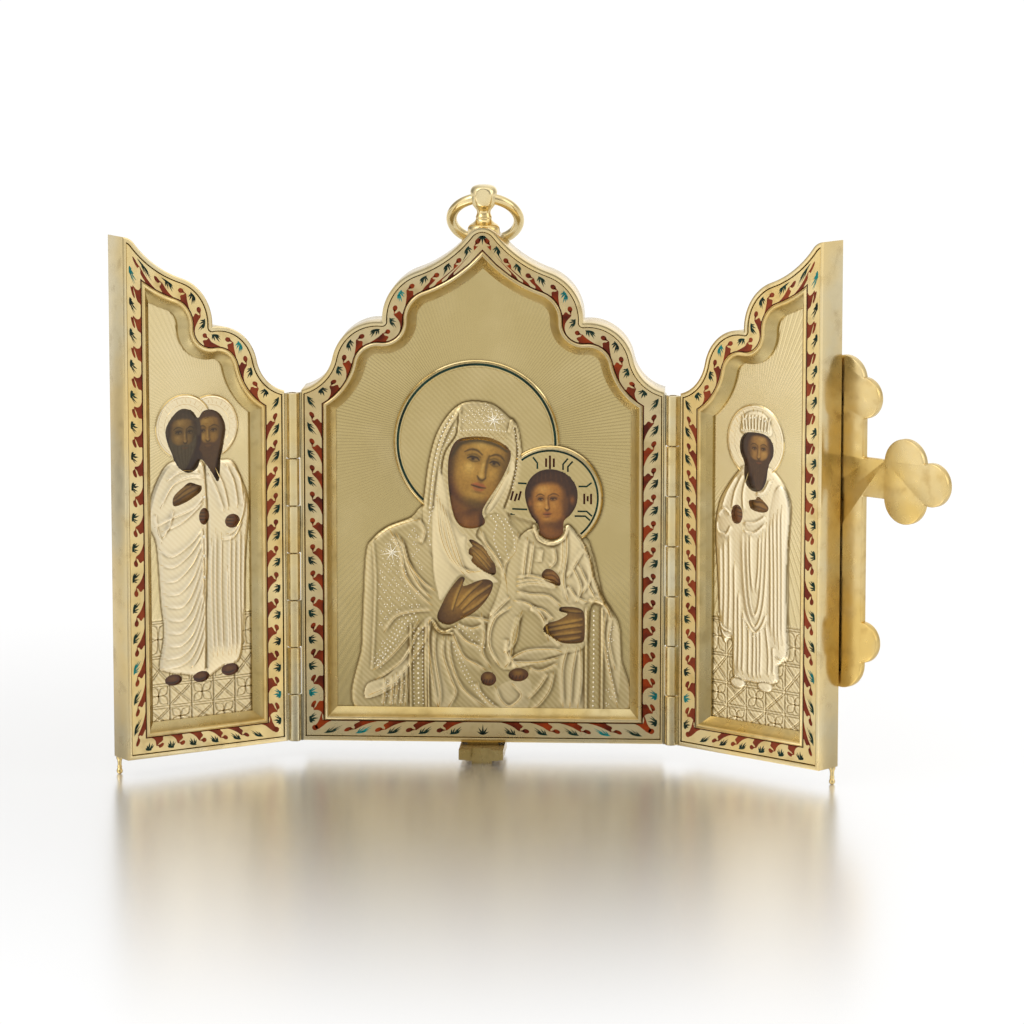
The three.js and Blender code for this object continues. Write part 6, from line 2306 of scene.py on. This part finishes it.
def paint_centre(paint: Paint) -> None:
    """The mother's and the child's heads, hands and feet."""
    tones = SkinTones()
    paint.wash(rounded([(-6.4, 52), (-6.2, 44), (-3, 42.5), (1.5, 44), (2.6, 48), (3, 52)]), "#7A4A17", 0.5)
    paint.stroke([(-3.4, 50), (-3.8, 47), (-3.4, 44)], "#9A6222", 0.8, 0.6)
    paint.stroke([(0.8, 50.5), (-0.2, 47.4), (-0.6, 44.6)], "#3A1E0A", 0.7, 0.8)
    paint.spot(-1.6, 48.6, 3.4, 1.0, "#452508", 0.85, 25)
    mother = Head(paint, -0.55, 57.4, 7.5, -13.0, 0.08, tones)
    cap = [mother.at(0.98 * math.sin(a), 0.02 + 1.2 * math.cos(a)) for a in np.linspace(0, 6.2, 30)]
    paint.wash(np.array(cap), "#5A3010", 0.5)
    mother.face(0.8)
    paint.stroke([(-6.6, 59.6), (-4.6, 62.2), (-1, 62.9), (2.6, 62.0), (4.9, 60.6)], "#4A3A14", 0.5, 0.8)
    child_tones = SkinTones("#A46A24", "#C48C3C", "#D4A252", "#5E3812", "#2E1808", "#96502A")
    paint.wash(disc(14.0, 50.9, 5.9, 6.4), "#40250F", 0.5)
    paint.wash(np.array([(11.6, 47.5), (16.9, 47.5), (17.2, 42), (11.2, 42)]), "#8A541B", 0.4)
    paint.spot(15.6, 45.6, 1.3, 1.8, "#4A2509", 0.7)
    child = Head(paint, 13.5, 50.0, 4.3, 2.0, -0.1, child_tones)
    child.face(0.86)
    child.hair("#452810", 1.06, 1.6, 0.98, 0.25)
    for x, z in ((9.6, 49.9), (18.4, 50.6)):
        paint.spot(x, z, 0.5, 0.85, "#9A5C1E", 0.8)
    paint_hand(paint, CentrePlate.LARGE_HAND, [
        [(-6.6, 27.4), (-5.6, 30.6), (-4.4, 33.6)], [(-5.6, 28.2), (-3.0, 31.2), (-0.4, 33.4)],
        [(-4.6, 27.6), (-2.0, 30.2), (1.4, 32.6)], [(-4.2, 26.8), (-1.4, 28.6), (0.8, 30.6)],
    ], tones)
    paint_hand(paint, CentrePlate.UPPER_HAND, [
        [(-2.6, 41.6), (-0.4, 40), (1.6, 37.4)], [(-2.6, 40.6), (-0.8, 38.8), (1.4, 36.4)],
        [(-2.2, 39.4), (-0.8, 37.8), (0.9, 35.9)],
    ], tones)
    paint_hand(paint, CentrePlate.CHILD_HAND, [
        [(12.8, 35.2), (14.2, 35.2), (15.4, 34.2)], [(12.8, 34.4), (14.2, 34.2), (15.4, 33.4)],
    ], child_tones)
    paint_hand(paint, CentrePlate.RIGHT_HAND, [
        [(20.2, 27.2), (18, 27.4), (16.4, 27.7)], [(20.4, 25.6), (17.4, 25), (13.4, 24.2)],
        [(20.4, 24.4), (17, 23.9), (13.2, 23.2)], [(20.2, 23), (17, 22.6), (14.2, 22.2)],
        [(20, 21.8), (17.6, 21.4), (15.6, 21.3)],
    ], tones)
    for x, z, rx in ((1.05, 13.0, 1.5), (7.3, 13.9, 1.9)):
        paint.wash(disc(x, z, rx * 1.4, 2.0), "#5E3411", 0.3)
        paint.spot(x - 0.2, z + 0.3, rx * 0.7, 0.8, tones.mid, 0.9)
        for k in range(4):
            toe = x + k * rx * 0.4
            paint.stroke([(toe - rx * 0.6, z - 0.3), (toe - rx * 0.75, z - 1.1)], "#2A1406", 0.12, 0.8)


def paint_left_wing(paint: Paint) -> None:
    """Two bearded heads, a hand and feet."""
    dark = SkinTones("#6C4E20", "#8C6A2E", "#A48042", "#3E2E10", "#221A08", "#5E3C1A")
    warm = SkinTones("#805A20", "#A07A34", "#B89048", "#503812", "#2A1C08", "#704A20")
    farther = Head(paint, 21.5, 65.4, 4.2, 0.0, -0.12, warm)
    paint.wash(disc(21.4, 66.4, 4.4, 5.0), "#40200E", 0.3)
    farther.face(0.68)
    farther.hair("#54371A", 0.9, 1.3, 0.8, 0.2)
    farther.beard(2.3, 0.62, "#54381A")
    nearer = Head(paint, 15.2, 65.4, 4.3, 0.0, 0.14, dark)
    paint.wash(disc(15.0, 65.4, 4.6, 5.6), "#2C1509", 0.3)
    nearer.face(0.7)
    nearer.hair("#483720", 0.94, 1.34, 0.78, 0.0)
    nearer.beard(1.65, 0.72, "#4E4026")
    paint_hand(paint, LeftWingPlate.HAND, [
        [(13, 52.2), (15.6, 53.6), (18.2, 54.6)], [(13.2, 53), (15.2, 54.4), (17, 55.2)],
    ], warm)
    for x, z in ((19.5, 48.6), (26.1, 47.1)):
        paint.wash(disc(x, z, 2.4, 2.4), "#6A3C16", 0.3)
        paint.spot(x - 0.2, z + 0.3, 0.9, 0.9, warm.mid, 0.8)
        for k in range(3):
            paint.stroke([(x - 0.9, z + 0.7 - k * 0.7), (x + 0.9, z + 0.5 - k * 0.7)], dark.deep, 0.12, 0.8)
    for x, z in ((25.5, 16.0), (18.65, 15.2), (12.2, 15.1)):
        paint.wash(disc(x, z, 2.8, 1.9), "#55290F", 0.3)
        paint.spot(x, z + 0.2, 1.2, 0.6, warm.mid, 0.7)
        paint.stroke([(x - 1.4, z - 0.4), (x, z - 0.7), (x + 1.4, z - 0.3)], dark.deep, 0.16, 0.8)


def paint_right_wing(paint: Paint) -> None:
    """A bearded head and two hands."""
    tones = SkinTones("#8C6028", "#AC803C", "#C09650", "#543612", "#2A1A08", "#7A4420")
    paint.wash(disc(19.1, 62.6, 4.8, 5.4), "#2E160A", 0.3)
    head = Head(paint, 19.05, 62.9, 3.9, 0.0, 0.0, tones)
    head.face(0.7)
    head.hair("#3E2812", 0.98, 1.4, 0.82, -0.1)
    head.beard(2.05, 0.72, "#4A3016")
    paint_hand(paint, RightWingPlate.HAND, [
        [(16.4, 52.2), (17.8, 53.1), (19.6, 53)], [(16.8, 51.6), (18.2, 52), (20.2, 52.2)],
    ], tones)
    paint.wash(disc(23.85, 49.75, 2.2, 2.6), "#6A3C16", 0.3)
    paint.spot(23.8, 50.2, 0.9, 1.1, tones.mid, 0.8)
    for k in range(3):
        paint.stroke([(23.0, 50.7 - k * 0.8), (24.8, 50.9 - k * 0.8)], tones.deep, 0.12, 0.8)


# ---------------------------------------------------------------- finial, ring, hinges, clasp, pegs and cross


@dataclass(frozen=True)
class HingeSizes:
    """A piano hinge's sizes."""

    barrel: float = 1.36
    bore: float = 0.74
    leaf: float = 0.35
    leaf_depth: float = 4.0
    offset: float = 1.42
    height: float = 73.0
    gap: float = 0.15
    knuckles: int = 7
    tall_knuckle: float = 13.6


@dataclass(frozen=True)
class CrossSizes:
    """The cross's sizes: its ends, the bars' half widths, the faces' depths and the filed edge."""

    foot: float = 16.3
    top: float = 84.1
    arm: float = 59.9
    reach: float = 26.4
    half: float = 5.0
    arm_half: float = 3.95
    front: float = 6.7
    back: float = 8.4
    soft: float = 0.32
    chip: float = 0.1


@dataclass
class Hardware:
    """The turned, bent and filed parts, rounder than the plain solids that they replace."""

    panels: dict[Side, Panel]
    finishes: Finishes

    FINIAL = [
        (3.3, 104.6), (3.3, 106.2), (3.22, 106.9), (2.9, 107.4), (2.3, 107.8), (1.85, 108.2), (1.62, 108.6),
        (1.66, 109.05), (1.5, 109.5), (1.4, 109.9), (1.5, 110.4), (1.9, 110.9), (2.35, 111.5), (2.65, 112.3),
        (2.8, 113.2), (2.8, 114.0), (2.66, 114.7), (2.25, 115.25), (1.6, 115.55), (0.8, 115.7), (0.0, 115.72),
    ]
    EYE = (112.9, 1.35)
    RING = (6.94, 1.1)
    DEPTH = 10.0
    PEG_OFFSET, PEG_Y = 0.85, 5.3
    HINGE = HingeSizes()
    CROSS = CrossSizes()

    def build(self) -> None:
        """Makes every part."""
        self.finial()
        self.ring()
        self.cross()
        self.clasp()
        for side, panel in self.panels.items():
            if side is Side.CENTRE:
                continue
            self.peg(panel)
            self.leaf(panel, 0, -side.value, True)
            self.leaf(panel, 1, side.value, False)

    @staticmethod
    def turned(profile: Array, segments: int) -> tuple[Array, list[list[int]]]:
        """Points and faces of a profile of radius and height, turned about the z axis and closed."""
        faces = ring_faces(len(profile), segments, False)
        count = len(profile) * segments
        faces.append(list(range(segments))[::-1])
        faces.append(list(range(count - segments, count)))
        return lathe(profile, segments), faces

    def finial(self) -> None:
        """The turned finial, flattened a little in front, with its eye."""
        base = self.panels[Side.CENTRE].base
        profile = catmull(self.FINIAL, False, 5)
        profile[:, 0] = np.maximum(profile[:, 0], 0.02)
        points, faces = self.turned(profile, 72)
        knob = points[:, 2] > 110.8
        points[knob, 1] = np.maximum(points[knob, 1], -2.45)
        points += [0.0, self.DEPTH / 2, base]
        piece = make_piece(
            "finial_turned", points * MM, faces, self.finishes.bright, "centre", 28, weld=True
        )
        bpy.ops.mesh.primitive_cylinder_add(
            vertices=48, radius=self.EYE[1] * MM, depth=0.012, rotation=(0, math.pi / 2, 0),
            location=(0, self.DEPTH / 2 * MM, (base + self.EYE[0]) * MM),
        )
        drill = bpy.context.object
        cut = piece.modifiers.new("eye", "BOOLEAN")
        cut.object = drill
        cut.operation = "DIFFERENCE"
        graph = bpy.context.evaluated_depsgraph_get()
        drilled = bpy.data.meshes.new_from_object(piece.evaluated_get(graph))
        piece.modifiers.clear()
        piece.data = drilled
        bpy.data.objects.remove(drill)
        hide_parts("finial")

    def ring(self) -> None:
        """The ring, where the plain one lies."""
        node = frame["nodes"]["ring"]
        rows = np.array([tuple(v.co) for v in node.data.vertices])
        centre = (rows.min(0) + rows.max(0)) / 2
        _, _, axes = np.linalg.svd(rows - rows.mean(0), full_matrices=False)
        radius, tube = self.RING[0] * MM, self.RING[1] * MM
        around = np.linspace(0, 2 * np.pi, 144, endpoint=False)
        section = np.linspace(0, 2 * np.pi, 28, endpoint=False)
        points = [
            centre
            + (axes[0] * math.cos(a) + axes[1] * math.sin(a)) * (radius + tube * math.cos(b))
            + axes[2] * tube * math.sin(b)
            for a in around
            for b in section
        ]
        piece = make_piece(
            "ring_bent", np.array(points), ring_faces(144, 28, True), self.finishes.bright, "ring",
            60, weld=True,
        )
        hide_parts("ring")

    def leaf(self, panel: Panel, first: int, toward: int, fixed: bool) -> None:
        """One leaf of a piano hinge: a strip and every other knuckle of the barrel.

        Args:
            panel: the wing that the hinge carries.
            first: the number of its lowest knuckle.
            toward: 1 where the leaf lies on the +x side of the hinge's axis, else -1.
            fixed: whether the leaf belongs to the centre.
        """
        s = self.HINGE
        top = s.tall_knuckle if panel.side is Side.LEFT else s.height / s.knuckles
        step = (s.height - top) / (s.knuckles - 1)
        edges = [i * step for i in range(s.knuckles)] + [s.height]
        vertices, faces, start = [], [], 0
        inner, outer = s.offset * toward, (s.offset + s.leaf) * toward
        shapes = [self.block(inner, outer, 0.0, s.leaf_depth, 0.0, s.height)]
        for i in range(first, s.knuckles, 2):
            low = edges[i] + (s.gap / 2 if i > 0 else 0.0)
            high = edges[i + 1] - (s.gap / 2 if i < s.knuckles - 1 else 0.0)
            shapes.append(self.barrel(low, high))
            web = self.block(s.barrel * 0.75 * toward, (s.offset + s.leaf / 2) * toward, 0.0, 0.8, low, high)
            shapes.append(web)
        for points, shape_faces in shapes:
            vertices.append(points)
            faces += [[start + i for i in face] for face in shape_faces]
            start += len(points)
        rows = np.vstack(vertices)
        turn = 0.0 if fixed else panel.turn
        c, sn = math.cos(turn), math.sin(turn)
        x = rows[:, 0] * c - rows[:, 1] * sn + panel.side.value * panel.hinge_x
        y = rows[:, 0] * sn + rows[:, 1] * c + HINGE_Y
        world = np.column_stack([x, y, rows[:, 2] + panel.base]) * MM
        side = "left" if panel.side is Side.LEFT else "right"
        owner = "centre" if fixed else "wing"
        piece = make_piece(
            f"{side}_{owner}_leaf_filed", world, faces, self.finishes.hinge,
            "centre" if fixed else panel.body, 32, weld=True,
        )
        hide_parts(f"{side}_hinge_{owner}_leaf")

    def barrel(self, low: float, high: float) -> tuple[Array, list[list[int]]]:
        """One knuckle: a tube with softened ends."""
        s = self.HINGE
        soft = 0.14
        profile = [
            (s.bore, low), (s.barrel - soft, low), (s.barrel, low + soft), (s.barrel, high - soft),
            (s.barrel - soft, high), (s.bore, high),
        ]
        return lathe(profile, 36), ring_faces(len(profile), 36, True)

    @staticmethod
    def block(
        x0: float, x1: float, y0: float, y1: float, z0: float, z1: float
    ) -> tuple[Array, list[list[int]]]:
        """A plain block; y counts back from the front face of the cases."""
        xs, ys, zs = sorted((x0, x1)), (y0 - HINGE_Y, y1 - HINGE_Y), (z0, z1)
        points = np.array([(x, y, z) for z in zs for y in ys for x in xs])
        return points, [[0, 2, 3, 1], [4, 5, 7, 6], [0, 1, 5, 4], [2, 6, 7, 3], [0, 4, 6, 2], [1, 3, 7, 5]]

    def peg(self, panel: Panel) -> None:
        """The turned peg under a wing's free corner."""
        profile = [
            (0.02, 0.0), (0.3, 0.05), (0.56, 0.3), (0.65, 0.65), (0.55, 1.0), (0.42, 1.25), (0.52, 1.45),
            (0.52, 1.65), (0.4, 1.85), (0.44, 2.3), (0.5, 2.9), (0.66, 3.15), (0.68, 3.4), (0.64, 3.62),
            (0.02, 3.62),
        ]
        points, faces = self.turned(catmull(profile, False, 3), 32)
        x, y, z = points.T
        placed = panel.place(x + panel.across(self.PEG_OFFSET), y + self.PEG_Y, z - panel.base)
        name = f"{panel.name}_peg"
        piece = make_piece(
            f"{name}_turned", placed, faces, self.finishes.bright, panel.body, 35, weld=True
        )
        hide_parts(name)

    def cross(self) -> None:
        """The budded cross, cut from plate, with filed edges."""
        panel = self.panels[Side.RIGHT]
        s = self.CROSS
        low, high, arm, reach = s.foot, s.top, s.arm, s.reach
        lobes = [(0, high - 5, 5), (0, low + 5, 5)]
        for side in (-1, 1):
            lobes += [
                (side * 4.7, high - 8.3, 4.2), (side * 4.7, low + 9.8, 4.2), (side * (reach - 4.4), arm, 4.4),
                (side * (reach - 11), arm + 3.6, 5), (side * (reach - 11), arm - 3.6, 5),
            ]
        bars = [(s.half, low + 5, high - 5), (reach - 4.4, arm - s.arm_half, arm + s.arm_half)]
        outline = self.outline_of(lobes, bars)
        rows = []
        rims = [
            (s.soft, s.front), (s.chip, s.front + s.chip), (0.0, s.front + s.soft),
            (0.0, s.back - s.soft), (s.chip, s.back - s.chip), (s.soft, s.back),
        ]
        for inset, y in rims:
            shape = self.inset(outline, inset)
            rows.append(panel.place(panel.across(shape[:, 0]), y, shape[:, 1]))
        count = len(outline)
        faces = ring_faces(len(rows), count, False)
        last = count * (len(rows) - 1)
        faces += [list(range(count)), list(range(last, last + count))[::-1]]
        piece = make_piece(
            "cross_cut", np.vstack(rows), faces, self.finishes.cross, panel.body, 40, weld=True
        )
        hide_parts("cross")

    @staticmethod
    def outline_of(lobes: list[tuple[float, float, float]], bars: list[tuple[float, float, float]]) -> Array:
        """The outline round joined discs and bars.

        Args:
            lobes: discs by centre and radius.
            bars: bars by half their width, foot and top.

        Returns:
            Points anticlockwise round the outline.
        """
        pitch = 0.18
        points = [disc(x, z, r, count=int(2 * math.pi * r / pitch)) for x, z, r in lobes]
        for half, foot, top in bars:
            tall, wide = np.arange(foot, top, pitch), np.arange(-half, half, pitch)
            points += [np.column_stack([np.full(len(tall), side * half), tall]) for side in (-1, 1)]
            points += [np.column_stack([wide, np.full(len(wide), z)]) for z in (foot, top)]
        rows = np.vstack(points)
        x, z = rows.T
        gaps = [np.hypot(x - cx, z - cz) - r for cx, cz, r in lobes]
        gaps += [np.maximum(np.abs(x) - half, np.maximum(foot - z, z - top)) for half, foot, top in bars]
        rows = rows[np.minimum.reduce(gaps) > -0.004]
        order, left = [int(np.argmax(rows[:, 1]))], np.ones(len(rows), bool)
        left[order[0]] = False
        while left.any():
            distance = np.where(left, np.hypot(*(rows - rows[order[-1]]).T), np.inf)
            nearest = int(np.argmin(distance))
            if distance[nearest] > 4 * pitch:
                break
            order.append(nearest)
            left[nearest] = False
        loop = rows[order]
        area = np.sum(loop[:, 0] * np.roll(loop[:, 1], -1) - np.roll(loop[:, 0], -1) * loop[:, 1])
        return loop if area > 0 else loop[::-1]

    @staticmethod
    def inset(outline: Array, distance: float) -> Array:
        """The outline moved inwards."""
        return outline + leftward(np.roll(outline, -1, axis=0) - np.roll(outline, 1, axis=0)) * distance

    def clasp(self) -> None:
        """The catch under the case, filed from the block, with its moulding and foot."""
        node = frame["nodes"]["clasp"]
        mesh = node.data.copy()
        bm = bmesh.new()
        bm.from_mesh(mesh)
        bmesh.ops.dissolve_limit(bm, angle_limit=math.radians(2), verts=bm.verts, edges=bm.edges)
        sharp = [e for e in bm.edges if len(e.link_faces) == 2 and e.calc_face_angle() > math.radians(30)]
        bmesh.ops.bevel(
            bm, geom=sharp, offset=0.16 * MM, segments=3, affect="EDGES", profile=0.5, clamp_overlap=True
        )
        bm.to_mesh(mesh)
        bm.free()
        mesh.materials.clear()
        mesh.materials.append(self.finishes.catch)
        mesh.shade_smooth()
        mesh.set_sharp_from_angle(angle=math.radians(40))
        piece = bpy.data.objects.new("clasp_filed", mesh)
        bpy.context.scene.collection.objects.link(piece)
        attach(piece, "centre")
        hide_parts("clasp")


# ---------------------------------------------------------------- studio


@dataclass
class Studio:
    """A white floor, soft light and the camera.

    The floor glows white away from the triptych, a little more or less in patches, which the upright gilt
    faces mirror: each patch is its middle in x and y, its radius and its change, in metres. The room's light
    goes from the viewer's side at -1 to the far side at 1.
    """

    target: tuple[float, float, float] = (0.0, -8.0, 57.7)
    azimuth: float = 3.6
    elevation: float = 8.85
    distance: float = 1000.0
    focal: float = 171.94
    aim_right: float = 6.52
    aim_up: float = -4.23
    floor_patches: tuple[tuple[float, float, float, float], ...] = (
        (-0.52, 0.13, 0.4, -0.6), (0.52, 0.13, 0.4, -0.32), (-0.42, -0.17, 0.3, 0.78),
        (0.42, -0.17, 0.3, 0.14),
    )
    floor_light: float = 1.035
    mirror_near: float = 0.04
    mirror_far: float = 0.26
    room: tuple[tuple[float, float], ...] = (
        (-1.0, 0.36), (-0.9, 0.42), (-0.55, 0.86), (-0.25, 0.95), (0.1, 0.5), (0.4, 0.36), (0.75, 0.6),
        (0.9, 1.0),
    )
    strength: float = 1.12
    lean: float = 0.8
    top: float = 0.4
    lamps: tuple[tuple[str, tuple[float, float, float], float, float], ...] = (
        ("key", (-0.5, -0.4, 0.65), 0.5, 1.1),
        ("fill", (0.7, -0.2, 0.35), 0.5, 0.6),
    )

    def build(self) -> None:
        """Makes the floor, the lights and the camera."""
        self.floor()
        self.light()
        self.camera()

    def floor(self) -> None:
        """A wide floor of white acrylic that mirrors softly."""
        bpy.ops.mesh.primitive_plane_add(size=40.0)
        floor = bpy.context.object
        floor.name = "floor"
        material, tree, shader = new_material("white_acrylic")
        shader.inputs["Base Color"].default_value = (0.86, 0.86, 0.86, 1.0)
        shader.inputs["Metallic"].default_value = 0.85
        shader.inputs["Roughness"].default_value = 0.25
        place = add_node(tree, "ShaderNodeTexCoord").outputs["Object"]
        reach = add_node(tree, "ShaderNodeVectorMath", {"operation": "LENGTH"}, {0: place}).outputs["Value"]
        glow = map_range(tree, reach, (self.mirror_near, self.mirror_far), smooth=True)
        level = self.floor_light
        for x, y, radius, change in self.floor_patches:
            settings = {"operation": "DISTANCE", "inputs": {1: (x, y, 0.0)}}
            gap = add_node(tree, "ShaderNodeVectorMath", settings, {0: place}).outputs["Value"]
            level = math_node(tree, "ADD", map_range(tree, gap, (0.0, radius), (change, 0.0), True), level)
        # Farther off the floor glows white, more or less in patches: painted light that the gilt mirrors.
        white = add_node(tree, "ShaderNodeEmission", links={"Strength": level})
        links = {0: glow, 1: shader.outputs[0], 2: white.outputs[0]}
        mixed = add_node(tree, "ShaderNodeMixShader", links=links)
        surface = next(node for node in tree.nodes if node.type == "OUTPUT_MATERIAL").inputs["Surface"]
        tree.links.new(mixed.outputs[0], surface)
        floor.data.materials.append(material)

    def light(self) -> None:
        """A white room, darker towards the viewer and brighter above, with a soft box on each side."""
        world = bpy.data.worlds.new("studio")
        bpy.context.scene.world = world
        world.use_nodes = True
        tree = world.node_tree
        tree.nodes.clear()
        direction = add_node(tree, "ShaderNodeTexCoord").outputs["Generated"]
        split = add_node(tree, "ShaderNodeSeparateXYZ", links={0: direction})
        depth = map_range(tree, split.outputs["Y"], (-1.0, 1.0))
        towards = add_node(tree, "ShaderNodeValToRGB", links={0: depth})
        ramp = towards.color_ramp
        ramp.interpolation = "EASE"
        for number, (back, level) in enumerate(self.room):
            stop = ramp.elements[0] if number == 0 else ramp.elements.new((back + 1) / 2)
            stop.position = (back + 1) / 2
            stop.color = (level, level, level, 1.0)
        ramp.elements.remove(ramp.elements[len(self.room)])
        above = map_range(tree, split.outputs["Z"], (0.3, 0.9), (0.0, self.top), True)
        rightward = math_node(tree, "MULTIPLY", split.outputs["X"], split.outputs["Y"])
        lean = math_node(tree, "ADD", math_node(tree, "MULTIPLY", rightward, self.lean), self.strength)
        share = math_node(tree, "MULTIPLY", math_node(tree, "ADD", towards.outputs[0], above), lean)
        settings = {"inputs": {"Color": (1.0, 0.995, 0.985, 1.0)}}
        room = add_node(tree, "ShaderNodeBackground", settings, {"Strength": share})
        add_node(tree, "ShaderNodeOutputWorld", links={"Surface": room.outputs[0]})
        for name, place, size, power in self.lamps:
            lamp = bpy.data.lights.new(name, "AREA")
            lamp.shape = "DISK"
            lamp.size = size
            lamp.energy = power
            lamp.color = (1.0, 0.98, 0.95)
            lamp_object = bpy.data.objects.new(name, lamp)
            bpy.context.scene.collection.objects.link(lamp_object)
            lamp_object.location = place
            aim = Vector((0.0, 0.0, 0.06)) - Vector(place)
            lamp_object.rotation_euler = aim.to_track_quat("-Z", "Y").to_euler()

    def camera(self) -> None:
        """The camera at the viewing angle."""
        azimuth, elevation = math.radians(self.azimuth), math.radians(self.elevation)
        level = math.cos(elevation)
        back = Vector((math.sin(azimuth) * level, -math.cos(azimuth) * level, math.sin(elevation)))
        target = Vector(self.target) * MM
        right = Vector((0, 0, 1)).cross(back).normalized()
        up = back.cross(right)
        aim = target + (right * self.aim_right + up * self.aim_up) * MM
        data = bpy.data.cameras.new("camera")
        data.lens = self.focal
        data.clip_start = 0.05
        camera = bpy.data.objects.new("camera", data)
        bpy.context.scene.collection.objects.link(camera)
        camera.location = target + back * self.distance * MM
        camera.rotation_euler = (aim - camera.location).to_track_quat("-Z", "Y").to_euler()
        bpy.context.scene.camera = camera
        bpy.context.scene.view_settings.view_transform = "Standard"


def main() -> None:
    """Builds every piece of the triptych."""
    logging.basicConfig(level=logging.INFO, format="%(name)s: %(message)s")
    finishes = make_finishes()
    panels = read_panels()
    for panel in panels.values():
        CaseMaker(panel, finishes).build()
        FrameMaker(panel, finishes).build()
        LeafBorder(panel, finishes).build()
        LOG.info("%s: case, frame and border", panel.name)
    for side, plate_class, paint in (
        (Side.CENTRE, CentrePlate, paint_centre),
        (Side.LEFT, LeftWingPlate, paint_left_wing),
        (Side.RIGHT, RightWingPlate, paint_right_wing),
    ):
        plate = plate_class(panels[side], finishes)
        plate.build()
        PaintedPatches(panels[side], plate.holes(), paint, finishes).build()
        LOG.info("%s: plate and painting", panels[side].name)
    Hardware(panels, finishes).build()
    for name, node in frame["nodes"].items():
        if not node.hide_render:
            node.data.materials.clear()
            node.data.materials.append(finishes.board if name.endswith("painting") else finishes.gilt)
    Studio().build()
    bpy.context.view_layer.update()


if __name__ == "__main__":
    main()
